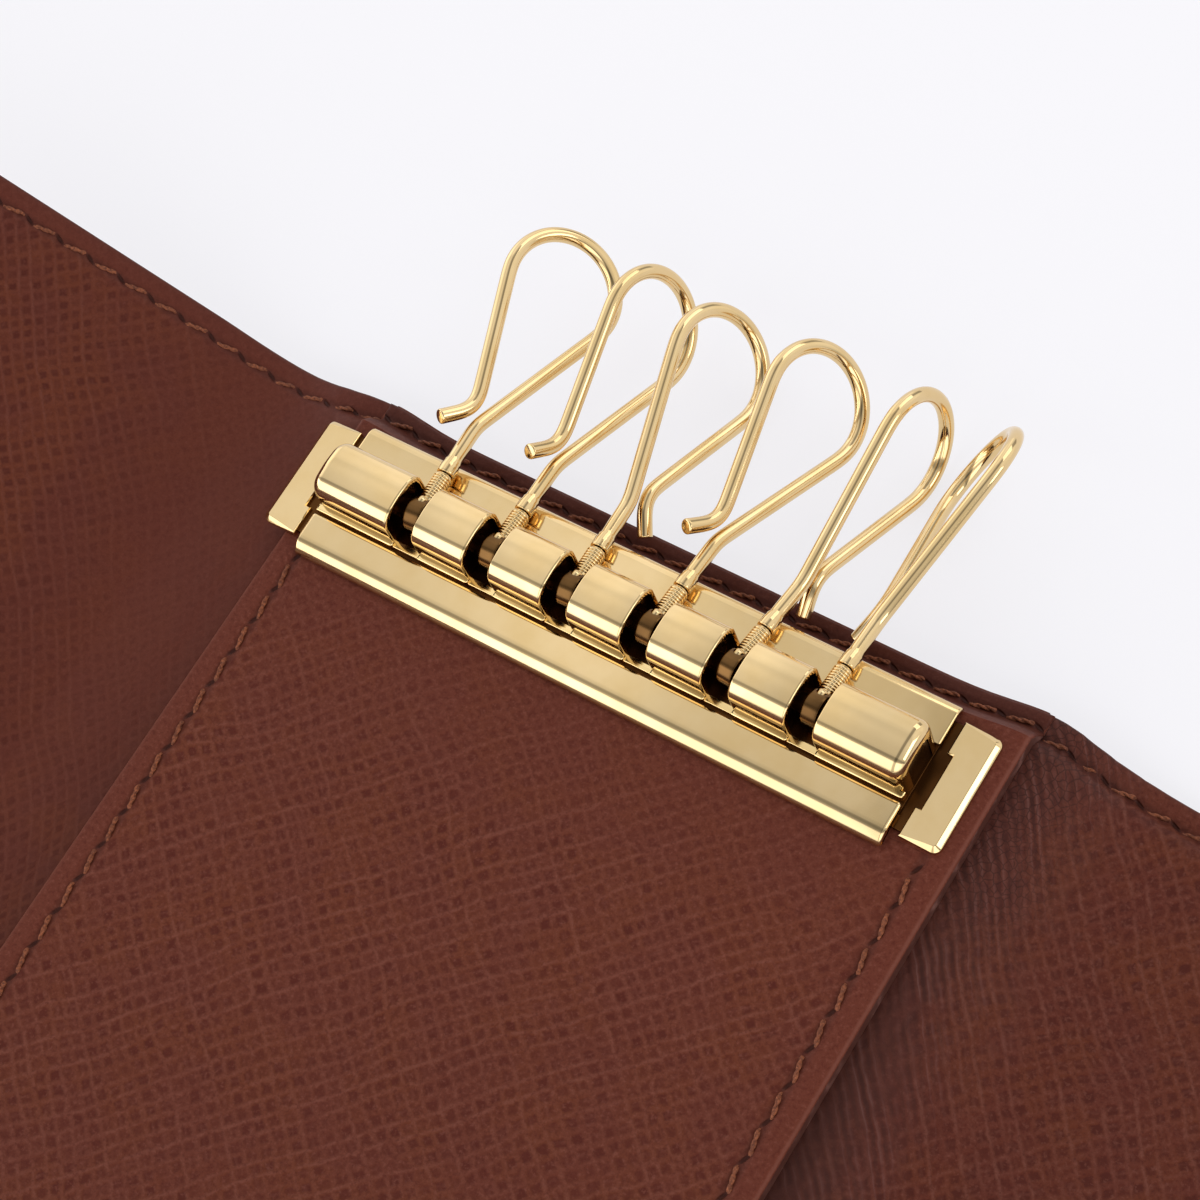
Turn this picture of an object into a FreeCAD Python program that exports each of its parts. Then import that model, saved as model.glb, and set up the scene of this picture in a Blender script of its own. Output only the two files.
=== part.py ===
import FreeCAD, Part
import math
import os

V = FreeCAD.Vector

# Case back, in mm. The origin is the middle of its underside, +Y runs to the top edge, +Z is the inside.
BACK_HALF_X = 30.65
BACK_HALF_Y = 52.5
COVER_T = 1.3
BOARD_T = 2.5
LINING_T = 1.0
PATCH_T = 1.5
HEM_SEAT_Z = 2.6
HEM_IN_Y = 49.3
HEM_OUT_Y = 50.2
BOARD_HALF_X = 28.6
BOARD_HALF_Y = 48.9
BOARD_PLAY = 0.1
PATCH_HALF_X = 29.55
PATCH_LOW_Y = -49.0
PATCH_HIGH_Y = 52.3
MARGIN_T = 0.3
MARGIN_FROM_Y = 49.65
MARGIN_Y = 50.5
LINING_Z = COVER_T + BOARD_T
PATCH_Z = LINING_Z + LINING_T
BAR_Z = PATCH_Z + PATCH_T

# Thread laid in a shallow groove
THREAD_W = 0.55
THREAD_SUNK = 0.25
THREAD_PROUD = 0.15
PATCH_ROW_IN = 2.2
HEM_ROW_Y = 51.0
FLAP_ROW_IN = 1.9

# Key bar, measured from its own middle on the face of the patch
BAR_X = -1.65
BAR_Y = 44.1
HOOK_COUNT = 6
PITCH = 7.0
SLOT_W = 2.27
AXLE_Z = 2.6
AXLE_R = 0.75
BARREL_HALF_X = 25.9
BARREL_HALF_Y = 2.45
BARREL_TOP = 4.75
BARREL_ROUND = 1.3
BARREL_END_ROUND = 0.9
BARREL_WALL = 0.5
SLOT_HOLLOW = 0.9
PLATE_T = 0.3
FLOOR_TOP = 0.6
FLANGE_TOP = 1.35
STRIP_TOP = 1.0
STRIP_REAR_Y = 5.5
STRIP_ROLL = 0.9
STRIP_HALF_X = 26.1
RAIL_HALF_X = 26.0
RAIL_SECTION = ((-3.35, 0.3), (-3.35, 1.2), (-4.95, 1.0), (-5.58, 0.75), (-5.78, 0.3))
TAB_IN_X = 26.75
TAB_OUT_X = 29.9
TAB_FRONT_Y = -5.03
TAB_REAR_Y = 4.56
TAB_TOP = 0.6
TAB_BEVEL = 0.4
RIVET_X = 19.0
RIVET_R = 0.9

# Swivel eyes
EYE_R = 1.35
EYE_W = 1.4
EYE_BORE_R = 0.9
COLLAR_START = 1.0
COLLAR_R = 0.72
COLLAR_END = 3.8
SOCKET_R = 0.5
SOCKET_START = 1.95

# Wire hooks: a stem, a bend to one side, a round bulb, a free leg and a foot turned out
WIRE_R = 0.6
STEM_R = 0.45
STEM_END = 8.3
BEND_R = 2.1
BEND_DEG = 18.6
LEG = 12.8
BULB_R = 4.55
BULB_DEG = 216.8
FREE_LEG = 10.5
FOOT_R = 2.3
FOOT_DEG = 58.5
FOOT = 1.85

# Each hook lies in its own way: dip of the stem, turn of the stem in plan, turn about the stem
HOOK_TILT = (-6.6, -7.6, -9.6, -8.5, -9.3, -9.6)
HOOK_LEAN = (-4.6, -2.0, -4.2, 0.5, 3.4, -0.2)
HOOK_SWIVEL = (-37.0, -64.0, 126.0, -52.6, 101.0, 59.0)

# Wings: each is a curved spine and a flat flap, turning on two fold lines
WING_T = COVER_T + LINING_T
FOLD_GAP = 0.3
FAR_FOLD_GAP = 0.6
FOLD_X = BACK_HALF_X + FOLD_GAP + WING_T / 2
FOLD_Z = 3.1
FLAP_HALF_Y = 52.3
FLAP_CORNER = 7.0

# Side sign, spine chord, chord slope, degrees of spine arc, flap slope, flap length, press stud place
LEFT_WING = (-1, 13.8, 3.0, 52.0, 24.0, 46.0, 18.2)
RIGHT_WING = (1, 17.5, -5.8, 20.0, 1.2, 56.0, 46.0)


def box(x0, x1, y0, y1, z0, z1):
    """Box between two corners."""
    return Part.makeBox(x1 - x0, y1 - y0, z1 - z0, V(x0, y0, z0))


def rod(radius, start, end):
    """Round rod between two points."""
    run = end - start
    return Part.makeCylinder(radius, run.Length, start, run)


def prism_x(points, x0, x1):
    """Polygon of (y, z) points drawn out along X."""
    ring = [V(x0, y, z) for y, z in points]
    return Part.Face(Part.makePolygon(ring + ring[:1])).extrude(V(x1 - x0, 0, 0))


def arch_x(half, top, bottom, corner, x0, x1):
    """Arch section with two round shoulders, drawn out along X."""
    cut = corner * (1 - math.sqrt(0.5))
    flat = half - corner
    side = top - corner
    edges = [
        Part.makeLine(V(x0, half, bottom), V(x0, half, side)),
        Part.Arc(V(x0, half, side), V(x0, half - cut, top - cut), V(x0, flat, top)).toShape(),
        Part.makeLine(V(x0, flat, top), V(x0, -flat, top)),
        Part.Arc(V(x0, -flat, top), V(x0, cut - half, top - cut), V(x0, -half, side)).toShape(),
        Part.makeLine(V(x0, -half, side), V(x0, -half, bottom)),
        Part.makeLine(V(x0, -half, bottom), V(x0, half, bottom)),
    ]
    return Part.Face(Part.Wire(edges)).extrude(V(x1 - x0, 0, 0))


def rounded(shape, radius, wanted):
    """Shape with a fillet on each edge whose middle is wanted."""
    picked = [edge for edge in shape.Edges if wanted(edge.CenterOfMass)]
    return shape.makeFillet(radius, picked)


def on_bar(shape):
    """Shape moved from the bar's own frame to its seat on the patch."""
    return shape.translated(V(BAR_X, BAR_Y, BAR_Z))


def slot_x(index):
    """Middle of one slot along the bar."""
    return PITCH * (index - (HOOK_COUNT - 1) / 2)


def case_back():
    """Layers of the back and the thread that holds them."""
    hem_drop = LINING_Z - HEM_SEAT_Z
    low = [(HEM_OUT_Y, HEM_SEAT_Z), (HEM_IN_Y, LINING_Z), (-HEM_IN_Y, LINING_Z), (-HEM_OUT_Y, HEM_SEAT_Z)]
    edge = BACK_HALF_Y
    section = [(-edge, 0), (edge, 0), (edge, HEM_SEAT_Z)] + low + [(-edge, HEM_SEAT_Z)]
    cover = prism_x(section, -BACK_HALF_X, BACK_HALF_X)
    cover = rounded(cover, 0.4, lambda m: m.z < 0.01 and abs(abs(m.y) - edge) < 0.01)
    room_x = BOARD_HALF_X + BOARD_PLAY
    room_y = BOARD_HALF_Y + BOARD_PLAY
    pocket = box(-room_x, room_x, -room_y, room_y, COVER_T, LINING_Z)
    board = box(-BOARD_HALF_X, BOARD_HALF_X, -BOARD_HALF_Y, BOARD_HALF_Y, COVER_T, LINING_Z)

    top = [(y, z + LINING_T) for y, z in low]
    section = [(edge, HEM_SEAT_Z + LINING_T)] + top + [(-edge, HEM_SEAT_Z + LINING_T), (-edge, HEM_SEAT_Z)]
    section = section + low[::-1] + [(edge, HEM_SEAT_Z)]
    lining = prism_x(section, -BACK_HALF_X, BACK_HALF_X)
    hem_top = LINING_Z - hem_drop + LINING_T
    lining = rounded(lining, 0.35, lambda m: abs(m.z - hem_top) < 0.01 and abs(abs(m.y) - edge) < 0.01)

    margin_z = hem_top + MARGIN_T
    section = [(PATCH_LOW_Y, PATCH_Z), (HEM_IN_Y, PATCH_Z), (HEM_OUT_Y, hem_top), (PATCH_HIGH_Y, hem_top)]
    section += [(PATCH_HIGH_Y, margin_z), (MARGIN_Y, margin_z), (MARGIN_FROM_Y, BAR_Z), (PATCH_LOW_Y, BAR_Z)]
    patch = prism_x(section, -PATCH_HALF_X, PATCH_HALF_X)
    patch = rounded(patch, 0.5, lambda m: abs(m.z - BAR_Z) < 0.01 and m.y < MARGIN_FROM_Y - 0.1)

    low_row = thread_box(-BACK_HALF_X + 0.4, BACK_HALF_X - 0.4, -HEM_ROW_Y, hem_top)
    lining = lining.cut(groove_box(-BACK_HALF_X, BACK_HALF_X, -HEM_ROW_Y, hem_top))
    margin_row = thread_box(-PATCH_HALF_X + 0.4, PATCH_HALF_X - 0.4, HEM_ROW_Y, margin_z)
    patch = patch.cut(margin_row)

    row_x = PATCH_HALF_X - PATCH_ROW_IN
    row_top = BAR_Y + TAB_FRONT_Y - 0.4
    row_low = PATCH_LOW_Y + PATCH_ROW_IN
    half = THREAD_W / 2
    thread_z = (BAR_Z - THREAD_SUNK, BAR_Z + THREAD_PROUD)
    outer = box(-row_x - half, row_x + half, row_low - half, row_top, *thread_z)
    inner = box(half - row_x, row_x - half, row_low + half, row_top, BAR_Z - 1, BAR_Z + 1)
    patch_thread = outer.cut(inner)
    patch = patch.cut(patch_thread)

    pierced = []
    for side in (-1, 1):
        rivet_x = BAR_X + side * RIVET_X
        pierced.append(rod(RIVET_R, V(rivet_x, BAR_Y, COVER_T), V(rivet_x, BAR_Y, BAR_Z + 2)))
        pierced.append(rod(2.0, V(rivet_x, BAR_Y, COVER_T), V(rivet_x, BAR_Y, COVER_T + 0.5)))
    return {
        "back_cover": cover.cut(pocket),
        "stiffener_board": board.cut(pierced),
        "back_lining": lining.cut(pierced),
        "bar_patch": patch.cut(pierced),
        "patch_thread": patch_thread,
        "hem_thread": Part.makeCompound([low_row, margin_row]),
    }


def thread_box(x0, x1, y, surface):
    """Straight run of thread along X, sunk into a surface."""
    return box(x0, x1, y - THREAD_W / 2, y + THREAD_W / 2, surface - THREAD_SUNK, surface + THREAD_PROUD)


def groove_box(x0, x1, y, surface):
    """Groove that takes a straight run of thread."""
    return box(x0, x1, y - THREAD_W / 2, y + THREAD_W / 2, surface - THREAD_SUNK, surface + 1)


def key_bar():
    """Fixed metal of the bar: carrier plate, tray, barrel cover, axle and rivets."""
    plate = box(-TAB_IN_X, TAB_IN_X, TAB_FRONT_Y + 0.4, TAB_REAR_Y - 0.2, 0, PLATE_T)
    for side in (-1, 1):
        low_x, high_x = sorted((side * TAB_IN_X, side * TAB_OUT_X))
        tab = box(low_x, high_x, TAB_FRONT_Y, TAB_REAR_Y, 0, TAB_TOP)
        tab = rounded(tab, 0.6, lambda m: abs(m.z - TAB_TOP / 2) < 0.01 and abs(m.x) > TAB_OUT_X - 0.01)
        tab = rounded(tab, TAB_BEVEL, lambda m: abs(m.z - TAB_TOP) < 0.01)
        notch_x = sorted((side * (TAB_IN_X - 0.1), side * (TAB_IN_X + 0.45)))
        tab = tab.cut(box(notch_x[0], notch_x[1], -2.6, 1.9, PLATE_T, 2))
        plate = plate.fuse(tab)
    plate = plate.removeSplitter()

    floor = box(-RAIL_HALF_X, RAIL_HALF_X, -3.6, STRIP_REAR_Y - STRIP_ROLL - 0.1, PLATE_T, FLOOR_TOP)
    rail_points = [V(-RAIL_HALF_X, y, z) for y, z in RAIL_SECTION]
    rail_edges = [Part.makePolygon(rail_points[:3]), Part.Arc(*rail_points[2:5]).toShape()]
    rail_edges.append(Part.makeLine(rail_points[4], rail_points[0]))
    rail = Part.Face(Part.Wire(rail_edges)).extrude(V(2 * RAIL_HALF_X, 0, 0))
    nose_z = PLATE_T + 0.1
    rail = rounded(rail, 0.2, lambda m: abs(abs(m.x) - RAIL_HALF_X) < 0.01 and m.y < -4 and m.z > nose_z)
    tray = floor.fuse(rail).removeSplitter()

    cover = arch_x(BARREL_HALF_Y, BARREL_TOP, FLOOR_TOP, BARREL_ROUND, -BARREL_HALF_X, BARREL_HALF_X)
    end_z = FLOOR_TOP + 0.1
    cover = rounded(cover, BARREL_END_ROUND, lambda m: abs(abs(m.x) - BARREL_HALF_X) < 0.01 and m.z > end_z)
    inner_half = BARREL_HALF_Y - BARREL_WALL
    inner_top = BARREL_TOP - BARREL_WALL
    inner_round = BARREL_ROUND - BARREL_WALL
    hollows = []
    cuts = [rod(AXLE_R + 0.02, V(-30, 0, AXLE_Z), V(30, 0, AXLE_Z))]
    for index in range(HOOK_COUNT):
        x = slot_x(index)
        reach = SLOT_W / 2 + SLOT_HOLLOW
        hollows.append((x - reach, x + reach))
        cuts.append(box(x - SLOT_W / 2, x + SLOT_W / 2, -4, 4, FLOOR_TOP - 0.1, BARREL_TOP + 1))
    for x0, x1 in hollows:
        cuts.append(arch_x(inner_half, inner_top, FLOOR_TOP + 0.2, inner_round, x0, x1))
    cover = cover.cut(cuts)
    strip = rear_strip()
    flange = box(-BARREL_HALF_X + 0.3, BARREL_HALF_X - 0.3, -3.05, -2.1, FLOOR_TOP, FLANGE_TOP)
    flange = rounded(flange, 0.2, lambda m: abs(m.z - FLANGE_TOP) < 0.01 and m.y < -3)
    cover = cover.fuse([strip, flange]).removeSplitter()

    rivets = []
    for side in (-1, 1):
        foot = COVER_T - BAR_Z
        shank = rod(RIVET_R, V(side * RIVET_X, 0, foot), V(side * RIVET_X, 0, FLOOR_TOP))
        head = rod(2.0, V(side * RIVET_X, 0, foot), V(side * RIVET_X, 0, foot + 0.5))
        rivets.append(shank.fuse(head).removeSplitter())
    axle = rod(AXLE_R, V(-BARREL_HALF_X + 0.6, 0, AXLE_Z), V(BARREL_HALF_X - 0.6, 0, AXLE_Z))
    return {
        "carrier_plate": on_bar(plate.cut(rivets)),
        "bar_tray": on_bar(tray.cut(rivets)),
        "barrel_cover": on_bar(cover),
        "axle_rod": on_bar(axle),
        "bar_rivets": on_bar(Part.makeCompound(rivets)),
    }


def rear_strip():
    """Strip behind the barrel, its rear edge rolled down to the patch."""
    x = -STRIP_HALF_X
    bend_y = STRIP_REAR_Y - STRIP_ROLL
    foot_z = STRIP_TOP - STRIP_ROLL
    inner = STRIP_ROLL - (STRIP_TOP - FLOOR_TOP)
    arcs = []
    for size in (STRIP_ROLL, inner):
        side = size * math.sqrt(0.5)
        turn = (V(x, bend_y, foot_z + size), V(x, bend_y + side, foot_z + side), V(x, bend_y + size, foot_z))
        arcs.append(Part.Arc(*turn).toShape())
    front = [V(x, bend_y, FLOOR_TOP), V(x, 2.1, FLOOR_TOP), V(x, 2.1, STRIP_TOP), V(x, bend_y, STRIP_TOP)]
    foot = Part.makeLine(V(x, bend_y + STRIP_ROLL, foot_z), V(x, bend_y + inner, foot_z))
    wire = Part.Wire([Part.makePolygon(front), arcs[0], foot, arcs[1]])
    strip = Part.Face(wire).extrude(V(2 * STRIP_HALF_X, 0, 0))
    return rounded(strip, 0.15, lambda m: abs(abs(m.x) - STRIP_HALF_X) < 0.01 and m.z > STRIP_TOP - 0.01)


def swivel_eye():
    """Eye on the axle with a ridged collar, its stem along +Y."""
    ring = rod(EYE_R, V(-EYE_W / 2, 0, 0), V(EYE_W / 2, 0, 0))
    ring = rounded(ring, 0.3, lambda m: abs(abs(m.x) - EYE_W / 2) < 0.01)
    collar = rod(COLLAR_R, V(0, COLLAR_START, 0), V(0, COLLAR_END, 0))
    ridges = []
    for place in (2.35, 2.85, 3.35):
        ridges.append(rod(COLLAR_R + 0.08, V(0, place - 0.13, 0), V(0, place + 0.13, 0)))
    eye = ring.fuse([collar] + ridges).removeSplitter()
    bore = rod(EYE_BORE_R, V(-3, 0, 0), V(3, 0, 0))
    socket = rod(SOCKET_R, V(0, SOCKET_START, 0), V(0, COLLAR_END + 1, 0))
    return eye.cut([bore, socket])


def wire_path():
    """Middle line of the hook in the XY plane, from the collar to the foot's end."""
    edges = []
    state = {"at": V(0, COLLAR_END + 0.1, 0), "heading": 0.0}

    def straight(length):
        heading = state["heading"]
        end = state["at"] + V(math.sin(heading), math.cos(heading), 0) * length
        edges.append(Part.makeLine(state["at"], end))
        state["at"] = end

    def turn(radius, degrees):
        heading = state["heading"]
        side = math.copysign(1, degrees)
        middle = state["at"] + V(math.cos(heading), -math.sin(heading), 0) * (side * radius)
        reached = []
        for share in (0.5, 1.0):
            now = heading + math.radians(degrees) * share
            reached.append(middle - V(math.cos(now), -math.sin(now), 0) * (side * radius))
        edges.append(Part.Arc(state["at"], reached[0], reached[1]).toShape())
        state["at"] = reached[1]
        state["heading"] = heading + math.radians(degrees)

    straight(STEM_END - COLLAR_END - 0.1)
    turn(BEND_R, BEND_DEG)
    straight(LEG)
    turn(BULB_R, -BULB_DEG)
    straight(FREE_LEG)
    turn(FOOT_R, FOOT_DEG)
    straight(FOOT)
    return Part.Wire(edges)


def wire_hook():
    """One hook, its stem along +Y and its legs in the XY plane."""
    start = V(0, COLLAR_END + 0.1, 0)
    ring = Part.Wire(Part.makeCircle(WIRE_R, start, V(0, 1, 0)))
    wire = wire_path().makePipeShell([ring], True, True)
    stem = rod(STEM_R, V(0, SOCKET_START + 0.1, 0), V(0, COLLAR_END + 0.4, 0))
    return wire.fuse(stem).removeSplitter()


def hooks():
    """Six eyes and six hooks, as the photograph shows them lying."""
    pieces = {}
    origin = V(0, 0, 0)
    for index in range(HOOK_COUNT):
        eye = swivel_eye()
        hook = wire_hook()
        hook.rotate(origin, V(0, 1, 0), -HOOK_SWIVEL[index])
        for name, shape in (("swivel_eye", eye), ("wire_hook", hook)):
            shape.rotate(origin, V(0, 0, 1), -HOOK_LEAN[index])
            shape.rotate(origin, V(1, 0, 0), HOOK_TILT[index])
            pieces[f"{name}_{index + 1}"] = on_bar(shape.translated(V(slot_x(index), 0, AXLE_Z)))
    return pieces


def spine(wing):
    """Curved spine between its two fold lines, with the far fold line's place."""
    side, chord, slope, arc, flap_slope, flap_length, stud_at = wing
    radius = chord / (2 * math.sin(math.radians(arc / 2)))
    drop = math.sqrt(radius ** 2 - (chord / 2) ** 2)
    lift = math.radians(slope)
    near = V(FOLD_X, 0, FOLD_Z)
    far = near + V(math.cos(lift), 0, math.sin(lift)) * chord
    middle = (near + far) * 0.5 + V(-math.sin(lift), 0, math.cos(lift)) * drop
    half = WING_T / 2
    low_y = V(0, -BACK_HALF_Y, 0)
    high_y = V(0, BACK_HALF_Y, 0)

    def about(point, size):
        return rod(size, point + low_y, point + high_y)

    def shell(size):
        return about(middle, radius + size)

    keep = [near - middle, far - middle]
    reach = 3 * radius
    wedge = [middle, middle + keep[0] * reach, middle + keep[1] * reach]
    sector = Part.Face(Part.makePolygon([p + low_y for p in wedge + wedge[:1]])).extrude(high_y - low_y)
    whole = shell(half).cut(shell(-half)).common(sector)
    whole = whole.fuse(about(near, half)).removeSplitter().cut(about(far, half + FAR_FOLD_GAP))
    face = half - LINING_T
    lining = whole.common(shell(face))
    cover = whole.cut(shell(face))
    band = shell(THREAD_SUNK - half).cut(shell(-half - THREAD_PROUD)).common(sector)
    ends = about(near, 1.6).fuse(about(far, 2.0))
    rows = []
    for row in (-1, 1):
        y = row * HEM_ROW_Y
        slab = box(-100, 100, y - THREAD_W / 2, y + THREAD_W / 2, -20, 80)
        rows.append(band.common(slab).cut(ends))
    lining = lining.cut(rows)
    shapes = (cover, lining, Part.makeCompound(rows))
    return [mirrored(shape, side) for shape in shapes], far


def mirrored(shape, side):
    """Shape as built for the right side, or its mirror image for the left."""
    if side > 0:
        return shape
    return shape.mirror(V(0, 0, 0), V(1, 0, 0))


def flap_plan(inset, length, z0, z1):
    """Flap outline with two round outer corners, inset all round, as a slab."""
    half = FLAP_HALF_Y - inset
    end = length - inset
    corner = FLAP_CORNER - inset
    cut = corner * (1 - math.sqrt(0.5))
    bend_x = end - corner
    bend_y = half - corner
    edges = [
        Part.makeLine(V(-5, -half, z0), V(bend_x, -half, z0)),
        Part.Arc(V(bend_x, -half, z0), V(end - cut, cut - half, z0), V(end, -bend_y, z0)).toShape(),
        Part.makeLine(V(end, -bend_y, z0), V(end, bend_y, z0)),
        Part.Arc(V(end, bend_y, z0), V(end - cut, half - cut, z0), V(bend_x, half, z0)).toShape(),
        Part.makeLine(V(bend_x, half, z0), V(-5, half, z0)),
        Part.makeLine(V(-5, half, z0), V(-5, -half, z0)),
    ]
    return Part.Face(Part.Wire(edges)).extrude(V(0, 0, z1 - z0))


def flap(wing, far):
    """Cover, lining and thread of a flap, then its half of the press stud."""
    side, chord, slope, arc, flap_slope, flap_length, stud_at = wing
    half = WING_T / 2
    face = half - LINING_T
    root = rod(half, V(0, -FLAP_HALF_Y, 0), V(0, FLAP_HALF_Y, 0))
    behind = box(-20, 0, -60, 60, -20, 20)
    slab = flap_plan(0, flap_length, -half, half).cut(behind).fuse(root).removeSplitter()
    upper = box(-20, 100, -60, 60, face, 20)
    lining = slab.common(upper)
    cover = slab.cut(upper)
    low = half - THREAD_SUNK
    high = half + THREAD_PROUD
    thread = flap_plan(FLAP_ROW_IN - THREAD_W / 2, flap_length, low, high)
    thread = thread.cut(flap_plan(FLAP_ROW_IN + THREAD_W / 2, flap_length, low - 1, high + 1))
    thread = thread.cut(box(-20, 2.2, -60, 60, -20, 20))
    lining = lining.cut(thread)
    stud = right_snap(stud_at) if side > 0 else left_snap(stud_at)
    holes = list(stud.values())
    pieces = {"cover": cover.cut(holes), "lining": lining.cut(holes), "thread": thread}
    if side > 0:
        mouth = rod(2.9, V(stud_at, 0, face), V(stud_at, 0, half + 1))
        pieces["lining"] = pieces["lining"].cut(mouth)
    pieces.update(stud)
    placed = {}
    for name, shape in pieces.items():
        shape = shape.copy()
        shape.rotate(V(0, 0, 0), V(0, 1, 0), -flap_slope)
        placed[name] = mirrored(shape.translated(far), side)
    return placed


def right_snap(place):
    """Cap on the outside of the right flap and the socket on its lining."""
    half = WING_T / 2
    face = half - LINING_T
    cap = rod(6.0, V(place, 0, -half - 0.8), V(place, 0, -half))
    cap = rounded(cap, 0.5, lambda m: m.z < -half - 0.7)
    cap = cap.fuse(rod(1.2, V(place, 0, -half - 0.1), V(place, 0, face))).removeSplitter()
    socket = rod(4.2, V(place, 0, half), V(place, 0, half + 0.8))
    socket = rounded(socket, 0.25, lambda m: m.z > half + 0.7)
    socket = socket.fuse(rod(2.9, V(place, 0, face), V(place, 0, half + 0.1))).removeSplitter()
    socket = socket.cut(rod(2.3, V(place, 0, face - 1), V(place, 0, half + 2)))
    return {"cap": cap, "socket": socket}


def left_snap(place):
    """Stud on the outside of the left flap and the post that holds it."""
    half = WING_T / 2
    stud = rod(4.2, V(place, 0, -half - 0.5), V(place, 0, -half))
    stud = rounded(stud, 0.2, lambda m: m.z < -half - 0.4)
    nub = rod(1.75, V(place, 0, -half - 1.85), V(place, 0, -half - 0.3))
    nub = rounded(nub, 0.4, lambda m: m.z < -half - 1.8)
    stud = stud.fuse(nub).removeSplitter()
    post = rod(4.5, V(place, 0, half), V(place, 0, half + 0.6))
    post = rounded(post, 0.3, lambda m: m.z > half + 0.5)
    post = post.fuse(rod(1.2, V(place, 0, -half), V(place, 0, half + 0.1))).removeSplitter()
    return {"stud": stud, "post": post}


def wings():
    """Spines and flaps of both wings with their press stud pieces."""
    pieces = {}
    for name, wing in (("left", LEFT_WING), ("right", RIGHT_WING)):
        layers, far = spine(wing)
        for layer, shape in zip(("cover", "lining", "thread"), layers):
            pieces[f"{name}_spine_{layer}"] = shape
        for layer, shape in flap(wing, far).items():
            title = f"{name}_flap_{layer}" if layer in ("cover", "lining", "thread") else f"snap_{layer}"
            pieces[title] = shape
    return pieces


os.makedirs("parts", exist_ok=True)
for maker in (case_back, key_bar, hooks, wings):
    for node, solid in maker().items():
        solid.exportStep(f"parts/{node}.step")
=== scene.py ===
"""Looks of a trifold leather key case with a six-hook key bar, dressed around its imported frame."""
import logging
import math
from collections.abc import Sequence
from dataclasses import dataclass
from enum import Enum
from functools import reduce

import bpy
import numpy as np
from mathutils import Matrix, Vector


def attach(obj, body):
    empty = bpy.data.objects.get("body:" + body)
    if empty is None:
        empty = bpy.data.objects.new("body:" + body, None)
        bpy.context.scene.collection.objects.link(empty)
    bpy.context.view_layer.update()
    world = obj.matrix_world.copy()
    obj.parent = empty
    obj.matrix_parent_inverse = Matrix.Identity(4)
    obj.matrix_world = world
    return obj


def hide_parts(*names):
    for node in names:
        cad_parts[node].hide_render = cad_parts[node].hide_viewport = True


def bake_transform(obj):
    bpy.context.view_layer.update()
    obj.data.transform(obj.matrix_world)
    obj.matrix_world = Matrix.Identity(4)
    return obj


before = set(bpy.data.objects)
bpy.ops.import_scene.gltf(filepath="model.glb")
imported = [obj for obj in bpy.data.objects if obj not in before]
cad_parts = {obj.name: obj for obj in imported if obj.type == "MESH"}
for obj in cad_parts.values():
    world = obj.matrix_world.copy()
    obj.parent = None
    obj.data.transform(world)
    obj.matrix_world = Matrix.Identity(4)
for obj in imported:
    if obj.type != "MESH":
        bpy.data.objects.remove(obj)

LOG = logging.getLogger("key_case")
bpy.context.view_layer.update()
MM = 0.001
UV_MM = 100.0
NO_ROW = 50.0
SHARP_ANGLE = 34.0
FLAT_BEVEL = ((0.0, 0.86), (0.015, 0.81), (0.05, 0.76), (0.93, 0.05), (0.97, 0.02), (1.0, 0.0), (1.12, 0.0))
Colour = tuple[float, float, float, float]
Point = tuple[float, float, float]


class Slot(Enum):
    """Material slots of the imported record."""

    METAL = "gold_metal"
    LINING = "lining_leather"
    OUTER = "outer_leather"
    THREAD = "thread"
    BOARD = "board"


class Body(Enum):
    """Body of the fixed pieces; the others are named after their wing or their number."""

    BACK = "case_back"


class Part(Enum):
    """Parts of a wing, each with the word in its pieces' names and the word in its nodes' names."""

    FOLD = ("fold", "spine")
    FLAP = ("flap", "flap")


def smoothstep(low: float, high: float, value: np.ndarray) -> np.ndarray:
    """Smooth ramp from 0 at low to 1 at high."""
    share = np.clip((np.asarray(value, float) - low) / (high - low), 0.0, 1.0)
    return share * share * (3.0 - 2.0 * share)


def round_drop(distance: np.ndarray, radius: float) -> np.ndarray:
    """Drop of a rounded edge at a distance inside it."""
    gap = np.clip(radius - np.asarray(distance, float), 0.0, radius)
    return radius - np.sqrt(np.maximum(radius * radius - gap * gap, 0.0))


def swell(x: np.ndarray, share: float = 0.0125, middle: float = 29.4, reach: float = 4.4) -> np.ndarray:
    """Widening of the case along Y where its hems swell over the folds."""
    return 1.0 + share * np.exp(-((np.abs(x) - middle) / reach) ** 2)


def groove(across: np.ndarray, depth: float, reach: float = 0.34) -> np.ndarray:
    """Depth of the leather that a thread row pulls down, at a distance from the row."""
    return depth * np.exp(-(across / reach) ** 2)


def lengths(points: np.ndarray) -> np.ndarray:
    """Length along a polyline at each of its points."""
    return np.concatenate([[0.0], np.cumsum(np.linalg.norm(np.diff(points, axis=0), axis=1))])


def even_path(points: np.ndarray, step: float) -> np.ndarray:
    """Points at even steps along a polyline.

    Args:
        points: Points of the polyline.
        step: Distance between the new points, about.

    Returns:
        The new points.
    """
    run = lengths(points)
    at = np.linspace(0.0, run[-1], max(2, int(round(run[-1] / step)) + 1))
    return np.stack([np.interp(at, run, points[:, i]) for i in range(points.shape[1])], -1)


def on_back(obj: bpy.types.Object, node: str) -> None:
    """Let a piece ride on the back and stand for a node."""
    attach(obj, Body.BACK.value)
    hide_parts(node)


def dress_node(node: str, finish: bpy.types.Material) -> None:
    """Give a node that stays in view its finish."""
    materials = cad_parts[node].data.materials
    materials.clear()
    materials.append(finish)


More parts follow.
